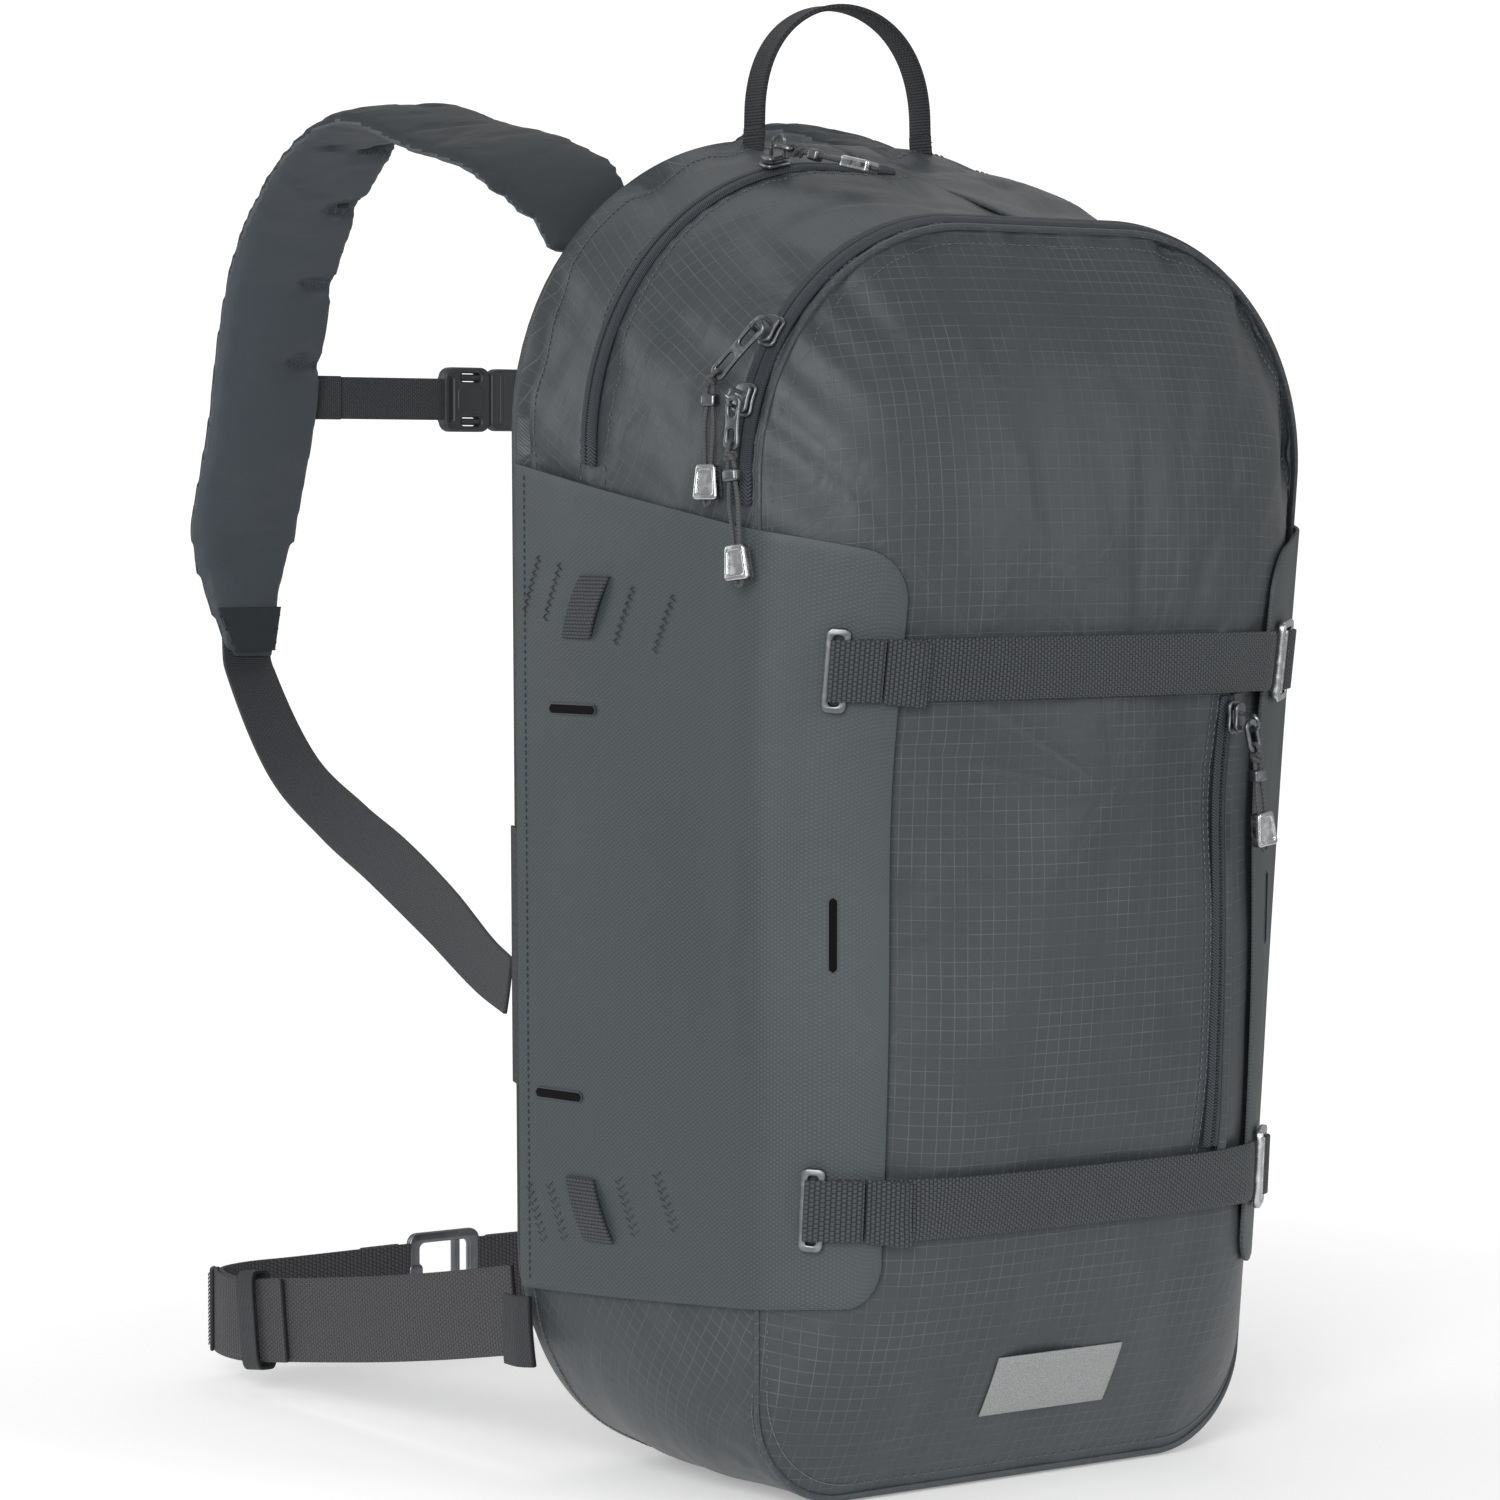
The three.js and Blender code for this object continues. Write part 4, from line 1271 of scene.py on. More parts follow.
# %% Lay the straps
def strap_lift(x):
    """Close to the panel in the middle, over the flap at the left, up to the buckle at the right."""
    left = max(0, min(1, (-74 - x) / 16))
    right = max(0, min(1, (x - 78) / 16))
    return mix(1.4, STRAP_LIFT, max(left, right) ** 2 * (3 - 2 * max(left, right)))


def band(z_middle, low, high, lift, width=WEBBING, lean=0.0):
    def surface(u, v):
        x = mix(low, high, v)
        return front(x, z_middle + width * (u - 0.5) + lean * (x - low))

    def height(u, v):
        edge = 1 - 0.35 * abs(2 * u - 1) ** 8
        return strap_lift(mix(low, high, v)) + lift + WEBBING_THICK * edge

    steps = max(6, round((high - low) / 3))
    return laid(surface, (width, high - low), (14, steps), height)


for level, z in STRAP_HEIGHTS.items():
    body = f"{level}_compression"
    ends = (HOOK_X + 6, LADDER_X - 10.5)
    piece(f"{level}_band", band(z, *ends, 0), STRAP_WEB, body, [f"{level}_strap"], thick=1.7, bevel=0.3)
    piece(f"{level}_fold", band(z, HOOK_X - 2.2, HOOK_X + 15, 3.2), STRAP_WEB, body, thick=1.8, bevel=0.4)
    piece(f"{level}_tab", band(z, HOOK_X + 15.4, HOOK_X + 30, 2.4, WEBBING + 1.2, -0.12), STRAP_WEB, body,
          thick=1.8, bevel=0.4)
    threads = bmesh.new()
    for x in (HOOK_X + 13, HOOK_X + 17.4, HOOK_X + 28):
        rows = along_surface(front, (x, z - 11), (x, z + 11), 1.5,
                             strap_lift(HOOK_X) + 2 * WEBBING_THICK + 0.2)
        stitches(threads, rows, 1.3, 0.3)
    piece(f"{level}_tab_stitches", threads, THREAD, body)
print("straps at heights", STRAP_HEIGHTS)


# %% Hooks, ladder buckles and the webbing round the far bar
def wrap_route(at, along, out):
    """Under the near bar, up between the bars, over and round the far bar and back below."""
    steps = ((-9.4, -0.6), (-7, -2.2), (-4, -1.6), (0, 0.8), (4, 2.6), (7, 3.1), (9.9, 2.2), (10.9, 0),
             (9.6, -2.3), (6, -2.9), (0, -2.9))
    return smooth_route([at + along * a + out * n for a, n in steps])


def hook_route(at, along, out):
    """Round the hook's inner bar, which the strap's fold hangs on."""
    bar = 2.6
    turns = [math.radians(degrees) for degrees in (-100, -60, -20, 20, 60, 100)]
    return smooth_route([at + along * (2.9 - bar * math.cos(a)) + out * bar * math.sin(a) for a in turns])


def buckle(kind, x, z):
    """A hook or ladder casting on the front, with its place and its three directions."""
    at, down, out = on_front(x, z)
    at += out * (STRAP_LIFT + 2.2)
    along = out.cross(down).normalized()
    if along.x < 0:
        along.negate()
    width, hole = (18, 10) if kind == "ladder" else (10, 4)
    bm = cast(rounded(width, 34, 3), [rounded(hole, 28, 1.2)], 3, 0.7)
    if kind == "ladder":
        join(bm, cast(rounded(1.8, 27, 0.8), [], 2.2, 0.5), Matrix.Translation((-4.4, 0, 0.9)))
    bmesh.ops.transform(bm, matrix=standing(down, out, at), verts=bm.verts)
    return bm, at, down, out, along


for level, z in STRAP_HEIGHTS.items():
    body = f"{level}_compression"
    bm, at, down, out, along = buckle("hook", HOOK_X, z)
    piece(f"{level}_hook_casting", bm, DARK_STEEL, body, [f"{level}_hook"])
    bm = ribbon(hook_route(at, along, out), lambda t: down, WEBBING, 18)
    piece(f"{level}_hook_wrap", bm, STRAP_WEB, body, thick=1.4, bevel=0.3)

    bm, at, down, out, along = buckle("ladder", LADDER_X, z)
    piece(f"{level}_ladder_casting", bm, STEEL, "bag", [f"{level}_ladder"])
    bm = ribbon(wrap_route(at, along, out), lambda t: down, WEBBING, 44)
    piece(f"{level}_ladder_webbing", bm, STRAP_WEB, "bag", thick=1.5, bevel=0.3)
print("four castings hung")

# %% [markdown]
# ## Zip pulls
# Each slider carries a cast pull, a knotted loop of thin cord, a crimp and a bright trapezoid tag. The cord
# is one curve: it starts at the knot, passes through the pull's lower eye and back through the knot, runs
# down one side of the tag, turns, and comes back up. A cord that hangs this short keeps its shape, so it
# is drawn as a curve and not simulated.

# %% Measures of a pull set
SLIDER_MIDDLE = 4.9  # over the cloth
PIVOT_RISE = 6.1  # from the slider's middle
CORD_ROUND = 0.9
PULL_SETS = {
    "front_upper": {"down": (-11, 19, -23), "out": (-1, -0.3, 0.1), "hang": (-0.05, -0.02, -1),
                    "pull": 30, "cord": 48},
    "front_lower": {"down": (-1, 1, -24), "out": (-1, -0.3, 0), "hang": (0, -0.12, -1),
                    "pull": 22, "cord": 50},
    "pocket": {"down": (3, 0, -12), "out": (0.1, -1, 0), "hang": (0.13, 0, -1), "pull": 14, "cord": 38},
    "rear": {"down": (4, -10, -2.6), "out": (0, 0.25, 1), "hang": (8, -16, -4.2), "pull": 10, "cord": 36},
}


def on_wall(f, depth):
    """A place on the side wall, with the direction round the bag and the outward one."""
    here = wall(f, depth)
    along = (wall(f + 0.001, depth) - here).normalized()
    out = along.cross(wall(f, depth + 0.01) - here).normalized()
    if out.dot(here - BAG_MIDDLE) < 0:
        out.negate()
    return here, along, out


def pocket_start():
    here, _, out = on_front(POCKET_ZIP_X, 320)
    return here + out * 0.9, Vector((0, 0.035, -1)), out


PULL_PLACES = {"front_upper": on_wall(0.8787, FRONT_ZIP_DEPTH),
               "front_lower": on_wall(0.8535, FRONT_ZIP_DEPTH),
               "pocket": pocket_start(),
               "rear": on_wall(0.9517, REAR_ZIP_DEPTH)}
print(len(PULL_SETS), "pull sets")


# %% The pull's plate
def pull_shape(length):
    """A dog-bone plate: long ones have two oval eyes."""
    long = length >= 20
    eyes = (length / 4, -length / 4) if long else (0,)
    deep = length / len(eyes) - (4.4 if long else 5)
    waist = 0.16 if long else 0
    holes = [rounded(3.6, deep, 1.75, middle=(0, y)) for y in eyes]
    bm = cast(rounded(7.5, length, 3.2, waist=waist), holes, 1.8, 0.6)
    bmesh.ops.translate(bm, verts=bm.verts, vec=(0, -length / 2, 0))
    return bm


# %% Knot, cord, crimp and tag
def knot(at, hang, out):
    """A small overhand knot: two strands that wind round each other."""
    across = hang.cross(out).normalized()

    def line(t):
        turn = 2 * math.pi * t
        reach = 1.25 + 0.75 * math.cos(3 * turn)
        flat = across * math.cos(2 * turn) + out * math.sin(2 * turn)
        return at + flat * reach + hang * (1.3 * math.sin(3 * turn))

    line.length = 30
    return tube(line, 1.0, 60, 7, closed=True)


def cord_points(pivot, at, down, hang, out, pull, cord):
    across = hang.cross(out).normalized()
    eye = pivot + down * (pull - 3.4)
    foot = pivot + down * (pull - 0.9)
    points = [at + out * 0.6, foot + out * 2.1 + down * 1.2, eye + out * 1.5, eye, eye - out * 1.5,
              foot - out * 2.1 + down * 1.2, at - out * 0.6]
    run = (3, 8, 14, 20, 26, cord - 12, cord - 6, cord - 2)
    bow = (1.5, 1.2, 1.9, 2.1, 1.8, 1.3, 1.3, 1.5)
    sides = [at + hang * a + across * b for a, b in zip(run, bow)]
    back = [at + hang * a - across * b for a, b in zip(run, bow)]
    turn = [at + hang * (cord + 0.6) + across * 1.2, at + hang * (cord + 1.2),
            at + hang * (cord + 0.6) - across * 1.2]
    return [*points, *sides, *turn, *reversed(back), at + hang * 0.5]


def framed(point):
    """A drawn point in the frame's metres."""
    return tuple((Vector(point) + Vector((0, BACK_EDGE, 0))) * MM)


def hang_cord(name, points, body, node):
    line = bpy.data.curves.new(name, "CURVE")
    line.dimensions = "3D"
    line.bevel_depth = CORD_ROUND * MM
    line.bevel_resolution = 3
    line.use_fill_caps = True
    route = smooth_route(points)
    steps = 110
    spline = line.splines.new("POLY")
    spline.points.add(steps)
    for n, point in enumerate(spline.points):
        point.co = (*framed(route(n / steps)), 1)
    line.materials.append(CORD)
    made = bpy.data.objects.new(name, line)
    bpy.context.scene.collection.objects.link(made)
    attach(made, body)
    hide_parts(node)
    framed(points[0])
    return route.length


def tag_shape():
    bm = cast(rounded(10.5, 14, 1.6, taper=0.25), [], 3.6, 0.8)
    rim = cast(rounded(10.5, 14, 1.6, taper=0.25), [rounded(6.6, 9.4, 1, taper=0.25)], 5, 0.8)
    return join(bm, rim)


def slider_shape(turn, top, pivot, down, out):
    """Two waisted plates on a core, and the bridge that the pull hangs from."""
    bm = bmesh.new()
    for level, width, length in ((-1.6, 9, 13.6), (1.3, 8, 12)):
        plate = cast(rounded(width, length, 3, waist=0.14), [], 1.8, 0.6)
        join(bm, plate, turn @ Matrix.Translation((0, 0, level)))
    join(bm, cast(rounded(3.4, 7, 1.2), [], 3.4, 0.4), turn)
    over = [top + down * 4.4, pivot + down * 4.4, pivot + down * 3.4 + out * 3.8, pivot + down + out * 4.5,
            pivot - down * 1.4 + out * 3, pivot - down * 1.9, top - down * 2]
    return join(bm, tube(smooth_route(over), 0.85, 26, 8))


# %% Hang the four pull sets
for name, facts in PULL_SETS.items():
    place, along, out_of_cloth = PULL_PLACES[name]
    middle = place + out_of_cloth * SLIDER_MIDDLE
    down, out, hang = (Vector(facts[key]).normalized() for key in ("down", "out", "hang"))
    out = (out - down * out.dot(down)).normalized()
    pivot = middle + out_of_cloth * PIVOT_RISE
    at = pivot + down * (facts["pull"] + 2.2)
    body = f"{name}_zip_pull"

    turn = standing(along, out_of_cloth, middle)
    bm = slider_shape(turn, middle + out_of_cloth * 1.8, pivot, down, out)
    piece(f"{name}_slider_body", bm, DARK_STEEL, f"{name}_zip_slider", [f"{name}_slider"])

    bm = pull_shape(facts["pull"])
    bmesh.ops.transform(bm, matrix=standing(down, out, pivot), verts=bm.verts)
    piece(f"{name}_pull_casting", bm, DARK_STEEL, body, [f"{name}_pull"])
    piece(f"{name}_knot", knot(at, hang, out), CORD, body)

    crimp = cast(rounded(7.5, 5, 1.6, waist=0.1), [], 5, 1.3)
    for kind, bm, below, metal_of in (("crimp", crimp, 7.5, DARK_STEEL),
                                      ("tag", tag_shape(), facts["cord"] - 8, STEEL)):
        bmesh.ops.transform(bm, matrix=standing(hang, out, at + hang * below), verts=bm.verts)
        piece(f"{name}_{kind}_casting", bm, metal_of, body, [f"{name}_{kind}"])
    points = cord_points(pivot, at, down, hang, out, facts["pull"], facts["cord"])
    real = hang_cord(f"{name}_hanging_cord", points, body, f"{name}_cord")
    print(name, "cord", round(real), "mm")

# %% [markdown]
# ## Haul loop
# A narrow, stiff, nearly black webbing loop stands between the shoulder straps. It is stiff enough to hold
# its arch, so it is a ribbon on that arch. Each end goes straight down into a short foot that is sewn to
# the top of the bag.

# %% Sew the haul loop
HAUL_HALF, HAUL_RISE = 46, 55
HAUL_Y, HAUL_Z = -14, 567
HAUL_WIDTH = 13
HAUL_FOOT = ((46, 567.6), (46.1, 564), (46.6, 560), (47.5, 555))
ALONG_Y = Vector((0, 1, 0))


def haul_line(t):
    turn = math.pi * t
    return Vector((-HAUL_HALF * math.cos(turn), HAUL_Y, HAUL_Z + HAUL_RISE * math.sin(turn) ** 0.8))


haul_route = smooth_route([haul_line(n / 24) for n in range(25)])
bm = ribbon(haul_route, lambda t: ALONG_Y, HAUL_WIDTH, 72, crown=0.5, across_steps=8)
piece("haul_webbing", bm, BLACK_WEB, "haul", ["haul_loop"], thick=2.2, bevel=0.6)

foot_threads = bmesh.new()
for name, side_sign in SIDES:
    foot_line = smooth_route([(side_sign * x, HAUL_Y, z) for x, z in HAUL_FOOT])
    bm = ribbon(foot_line, lambda t: ALONG_Y, HAUL_WIDTH + 0.4, 12, across_steps=8)
    piece(f"{name}_haul_foot", bm, BLACK_WEB, "bag", thick=2.4, bevel=0.5)
    outwards = Vector((side_sign, 0, 0))
    for z in (564.6, 562.6):
        row = [(Vector((side_sign * 47.4, HAUL_Y + y, z)), ALONG_Y, outwards) for y in range(-5, 6)]
        stitches(foot_threads, row, 0.8, 0.25)
piece("haul_foot_stitches", foot_threads, THREAD, "bag")
print("haul loop", round(haul_route.length), "mm round")

# %% [markdown]
# ## Padded parts
# The shoulder straps and the back are foam in a sewn cover. Foam pushes its cover out everywhere except
# where stitches hold it, which a cloth simulation with inside pressure shows well: each pad starts a little
# slim, its stitched rows are held, and it is blown up for twenty frames. The movement is capped, so the pad
# stays inside its frame.

# %% A closed rounded sweep
def squared(wave, power):
    """A sine or cosine pressed towards a square wave, for a section with rounded corners."""
    return math.copysign(abs(wave) ** power, wave)


def sweep(route, across_at, half_width, half_thick, steps, around_steps):
    """Like a tube, but wide and flat, with square-ish rounded edges and closed ends."""
    def surface(u, v):
        along = tangent(route, v)
        across = across_at(v)
        across = (across - along * across.dot(along)).normalized()
        out = across.cross(along)
        turn = 2 * math.pi * u
        wide = squared(math.cos(turn), 0.55)
        high = squared(math.sin(turn), 0.75)
        return route(v) + across * (wide * half_width(v)) + out * (high * half_thick(v))

    bm = laid(surface, (1, 1), (around_steps, steps), loop=True)
    bmesh.ops.holes_fill(bm, edges=[e for e in bm.edges if e.is_boundary], sides=0)
    bmesh.ops.recalc_face_normals(bm, faces=bm.faces)
    return bm


# %% Blow a pad up
PRESSURE = 4
BLOW_FRAMES = 20


def smooth(bm, factor):
    bmesh.ops.smooth_vert(bm, verts=bm.verts, factor=factor, use_axis_x=True, use_axis_y=True,
                          use_axis_z=True)


def swell(bm, held, most, cell=5):
    """Remeshes the pad evenly and swells it; held(point) says where stitches hold the cover."""
    bmesh.ops.transform(bm, matrix=Matrix.Scale(MM, 4), verts=bm.verts)
    mesh = bpy.data.meshes.new("pad")
    bm.to_mesh(mesh)
    bm.free()
    pad = bpy.data.objects.new("pad", mesh)
    scene = bpy.context.scene
    scene.collection.objects.link(pad)
    even_cells = pad.modifiers.new("even cells", "REMESH")
    even_cells.mode = "VOXEL"
    even_cells.voxel_size = cell * MM
    even_mesh = bpy.data.meshes.new_from_object(pad.evaluated_get(bpy.context.evaluated_depsgraph_get()))
    pad.modifiers.clear()
    pad.data = even_mesh
    before = [v.co.copy() for v in even_mesh.vertices]
    sewn = pad.vertex_groups.new(name="sewn")
    sewn.add([n for n, co in enumerate(before) if held(co / MM)], 1, "REPLACE")
    cloth = pad.modifiers.new("cover", "CLOTH")
    cloth.settings.quality = 4
    cloth.settings.mass = 0.15
    cloth.settings.tension_stiffness = 12
    cloth.settings.compression_stiffness = 12
    cloth.settings.bending_stiffness = 0.6
    cloth.settings.vertex_group_mass = "sewn"
    cloth.settings.use_pressure = True
    cloth.settings.uniform_pressure_force = PRESSURE
    cloth.settings.effector_weights.gravity = 0
    cloth.point_cache.frame_start = 1
    cloth.point_cache.frame_end = BLOW_FRAMES
    for frame_number in range(1, BLOW_FRAMES + 1):
        scene.frame_set(frame_number)
    blown = pad.evaluated_get(bpy.context.evaluated_depsgraph_get()).to_mesh()
    for vert, start, moved in zip(even_mesh.vertices, before, blown.vertices):
        step = moved.co - start
        if step.length > most * MM:
            step *= most * MM / step.length
        vert.co = start + step
    pad.modifiers.clear()
    scene.frame_set(1)
    swollen = bmesh.new()
    swollen.from_mesh(even_mesh)
    bpy.data.objects.remove(pad)
    bmesh.ops.transform(swollen, matrix=Matrix.Scale(1 / MM, 4), verts=swollen.verts)
    smooth(swollen, 0.4)
    return swollen


print("padding tools ready")

# %% [markdown]
# ### Shoulder straps
# Each strap arches up and over, then hangs. Its outer cover is dark and brushed, the cover towards the
# wearer is smooth and a little bluish, and four stitched dimples keep the foam from shifting. Its tip
# narrows to take the lower webbing.

# %% Routes of the straps
SHOULDER_X = 117
SHOULDER_ROUTE = [(1, 514), (17, 536), (57, 556), (105, 567), (160, 580), (200, 570), (231, 548),
                  (253, 522), (268, 486), (278, 444), (298, 381), (290, 335)]
PAD_HALF_WIDTH = 30
PAD_HALF_THICK = 5.4
TIP_STARTS = 0.88
DIMPLES = (0.45, 0.54, 0.63, 0.71)
STRAP_SAMPLES = 150


def strap_half(t):
    """Half the pad's width: a little less where it is sewn in, and narrowing towards the tip."""
    if t < TIP_STARTS:
        return PAD_HALF_WIDTH - 110 * max(0, 0.09 - t)
    return PAD_HALF_WIDTH * (1 - (t - TIP_STARTS) * 5)


def strap_half_thick(t):
    return PAD_HALF_THICK - 30 * max(0, t - 0.94)


def strap_across(side_sign):
    return lambda t: Vector((1, 0, -side_sign * (0.26 * max(0, 1 - 1.6 * t) + 0.3 * max(0, 1 - 8 * t))))


def strap_frame(route, across_at):
    """Places along a strap, each with its across and its outward direction."""
    places = []
    for n in range(STRAP_SAMPLES + 1):
        t = n / STRAP_SAMPLES
        along = tangent(route, t)
        across = across_at(t) - along * across_at(t).dot(along)
        across.normalize()
        places.append((t, route(t), across, across.cross(along)))
    return places


def nearest(places, point):
    """The strap's own measure of a point: t, how far across, and how far out."""
    t, middle, across, out = min(places, key=lambda row: (row[1] - point).length_squared)
    off = point - middle
    return t, off.dot(across), off.dot(out)


# %% Make each strap
def wrinkles(t, across, seed):
    """Short creases across the strap where it bends over the shoulder."""
    bend = math.exp(-(((t - 0.42) / 0.2) ** 2)) + 0.5 * math.exp(-(((t - 0.85) / 0.1) ** 2))
    short = 4.6 * bend * max(0, ripple(t * 46, across / 26, seed))
    return short + 0.5 * max(0, ripple(t * 15, across / 18, seed + 2))


def strap_pad(name, side_sign):
    route = smooth_route([(side_sign * SHOULDER_X, y, z) for y, z in SHOULDER_ROUTE])
    across_at = strap_across(side_sign)
    places = strap_frame(route, across_at)

    def held(point):
        t, across, _ = nearest(places, point)
        return abs(across) > strap_half(t) - 2.5

    bm = swell(sweep(route, across_at, strap_half, strap_half_thick, 96, 24), held, 2.6)
    bmesh.ops.subdivide_edges(bm, edges=bm.edges, cuts=1, use_grid_fill=True)
    smooth(bm, 0.5)
    bm.normal_update()
    cloth = bm.loops.layers.uv.new("cloth")
    measure = {v: nearest(places, v.co) for v in bm.verts}
    for vert, (t, across, _) in measure.items():
        edge = 1 - min(1, abs(across) / strap_half(t)) ** 4
        sink = wrinkles(t, across, 3.1 + side_sign) * edge
        for spot in DIMPLES:
            apart = math.hypot((t - spot) * route.length / 6, (across + side_sign * 17) / 12)
            sink += 4.6 * math.exp(-apart * apart)
        vert.co -= vert.normal * sink
    for face in bm.faces:
        face.material_index = 1 if sum(measure[v][2] for v in face.verts) < 0 else 0
        for corner in face.loops:
            t, across, _ = measure[corner.vert]
            corner[cloth].uv = (across, t * route.length)
    made = piece(f"{name}_strap_pad", bm, STRAP_TOP, "harness", [f"{name}_shoulder_strap"])
    made.data.materials.append(STRAP_LINING)
    return route, places


STRAP_LINES = {}
for name, side_sign in SIDES:
    STRAP_LINES[name] = strap_pad(name, side_sign)
    print(name, "strap", round(STRAP_LINES[name][0].length), "mm long")


# %% Stitches of the straps
def strap_stitches(name, side_sign):
    route, places = STRAP_LINES[name]
    bm = bmesh.new()
    for spot in DIMPLES:
        t, middle, across, out = places[round(spot * STRAP_SAMPLES)]
        row = [(middle + across * ((n - 3) * 2.2 - side_sign * 15) - out * 4.2, tangent(route, t), out)
               for n in range(7)]
        stitches(bm, row, 4, 0.45)
    piece(f"{name}_strap_stitches", bm, THREAD, "harness")


def tip_patch(name, side_sign):
    """A sewn patch over the strap's tip, which holds the lower webbing."""
    _, places = STRAP_LINES[name]

    def surface(u, v):
        t, middle, across, out = places[round(mix(0.955, 0.995, v) * STRAP_SAMPLES)]
        half = strap_half(t) - 2
        return middle + across * ((u - 0.5) * 2 * half) - out * 5.6

    bm = laid(surface, (40, 30), (10, 15), middle=Vector((side_sign * SHOULDER_X, 500, 360)))
    piece(f"{name}_strap_tip", bm, STRAP_TOP, "harness", thick=1.4, bevel=0.4)


for name, side_sign in SIDES:
    strap_stitches(name, side_sign)
    tip_patch(name, side_sign)
print("straps sewn")

# %% [markdown]
# ### Lower webbing
# Webbing runs from each strap's tip to the bottom corner of the bag, and turns a quarter on its way.

# %% Lay the lower webbings
LOWER_ROUTE = [(117.4, 292.5, 346), (118, 289, 331), (124, 240, 287), (132, 182, 264), (139, 135, 250),
               (149, 75, 230), (157, 28, 212), (161, 3, 205)]


for name, side_sign in SIDES:
    route = smooth_route([(side_sign * x, y, z) for x, y, z in LOWER_ROUTE])

    def wide(t, side_sign=side_sign):
        turn = t * math.pi / 2
        return Vector((math.cos(turn), 0, -side_sign * math.sin(turn)))

    bm = ribbon(route, wide, WEBBING, 110, crown=0.3, across_steps=10)
    made = piece(f"{name}_lower_strap", bm, SMOOTH_WEB, None, [f"{name}_lower_webbing"], thick=1.9, bevel=0.4)
    framed(route(0))
    framed(route(1))
    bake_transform(made)
    patch = laid(lambda u, v: wall(side_sign * mix(0.247, 0.297, u), mix(0.012, 0.15, v)), (30, 24),
                 (10, 12), 1.1)
    piece(f"{name}_lower_anchor", patch, SMOOTH_WEB, "bag", thick=1.6, bevel=0.4)
print("lower webbing", round(route.length), "mm long")

# %% [markdown]
# ## Sternum strap
# A light strap joins the shoulder straps at the chest, with a side-release buckle: a socket with two
# release windows, and a plug whose prongs show through them.

# %% Make the sternum strap
STERNUM = {"y": 284, "z": 457, "reach": 86, "width": 20}
SOCKET_X, SOCKET_LONG, PLUG_LONG = -14, 26, 20
PLUG_X = SOCKET_X + SOCKET_LONG + 0.4


def chest(x):
    return Vector((x, STERNUM["y"], STERNUM["z"]))


def upright(t):
    return Vector((0, 0, 1))


def facing(x):
    """Turns a plate's drawing so that its X runs along the strap and its Z towards the pack."""
    return standing(Vector((0, 0, -1)), Vector((0, -1, 0)), chest(x))


for name, low, high in (("left", -STERNUM["reach"], SOCKET_X + 3),
                        ("right", PLUG_X + PLUG_LONG - 3, STERNUM["reach"])):
    run = smooth_route([chest(mix(low, high, n / 4)) for n in range(5)])
    bm = ribbon(run, upright, STERNUM["width"], 40, crown=0.4, across_steps=8)
    piece(f"sternum_{name}_webbing", bm, SMOOTH_WEB, "sternum", [f"sternum_{name}"], thick=1.8, bevel=0.4)
    outer = low if name == "left" else high
    inner = outer + (14 if name == "left" else -14)
    folded = smooth_route([chest(mix(outer, inner, n / 3)) - ALONG_Y * 1.6 for n in range(4)])
    bm = ribbon(folded, upright, STERNUM["width"] + 0.6, 12)
    piece(f"sternum_{name}_fold", bm, SMOOTH_WEB, "sternum", thick=1.8, bevel=0.4)
    bm = bmesh.new()
    for row in range(3):
        x = mix(outer, inner, 0.35 + 0.22 * row)
        places = [(chest(x) + Vector((0.5 * (-1) ** n, -3, (n - 8) * 1.1)), Vector((1.2 * (-1) ** n, 0, 1)),
                   Vector((0, -1, 0))) for n in range(17)]
        stitches(bm, places, 1.7, 0.32)
    piece(f"sternum_{name}_bartack", bm, THREAD, "sternum")

socket_middle = SOCKET_X + SOCKET_LONG / 2
windows = [rounded(11, 4.2, 1.8, middle=(2, y)) for y in (-10.6, 10.6)]
slot_hole = rounded(2.6, 21, 1, middle=(-9.8, 0))
socket = cast(rounded(SOCKET_LONG, 31, 5), [*windows, slot_hole], 7.6, 1.6)
join(socket, cast(rounded(15, 13, 3), [], 8.4, 0.9), Matrix.Translation((1.5, 0, 0)))
bmesh.ops.transform(socket, matrix=facing(socket_middle), verts=socket.verts)
piece("sternum_socket_shell", socket, PLASTIC, "sternum", ["sternum_socket"])

plug_middle = PLUG_X + PLUG_LONG / 2
plug = cast(rounded(PLUG_LONG, 30, 4.5), [rounded(2.6, 21, 1, middle=(6.4, 0))], 6.6, 1.5)
join(plug, cast(rounded(2.2, 24, 1), [], 7.6, 0.6), Matrix.Translation((-4, 0, 0)))
for y in (-10.6, 10.6):
    join(plug, cast(rounded(15, 3.2, 1.4), [], 4.6, 1), Matrix.Translation((-19.5, y, 0)))
bmesh.ops.transform(plug, matrix=facing(plug_middle), verts=plug.verts)
piece("sternum_plug_shell", plug, PLASTIC, "sternum", ["sternum_plug"])
print("sternum strap closed")

# %% [markdown]
# ## Hip belt
# The belt is plain heavy webbing with coarse ribs, stood on its edge, in two halves that meet in a cast
# hook. An elastic keeper holds the folded, sewn end.

# %% Lay the belt
HIP_HALF = [(154, 8, 67), (154, 75, 55), (153, 145, 44), (152, 235, 32), (150, 259, 31), (142.2, 277.2, 31),
            (124, 285, 31), (98, 285, 31)]
HIP_WIDTH = 38
HIP_HOOK = Vector((-14, 285, 33))
HIP_TAB = [(163.2, -18, 62), (164, -8, 61), (162.6, 4, 60.6)]


def hip_route(side_sign, end):
    return smooth_route([*((side_sign * x, y, z) for x, y, z in HIP_HALF), (end, 285, 31.5)])


def layer(route, low, high, off, steps):
    """A part of a belt half, moved outwards, for a folded layer."""
    points = []
    for n in range(steps + 1):
        t = mix(low, high, n / steps)
        along = tangent(route, t)
        out = along.cross(Vector((0, 0, 1))).normalized()
        if out.dot(Vector((route(t).x, route(t).y - 140, 0))) < 0:
            out.negate()
        points.append(route(t) + out * off)
    return smooth_route(points)


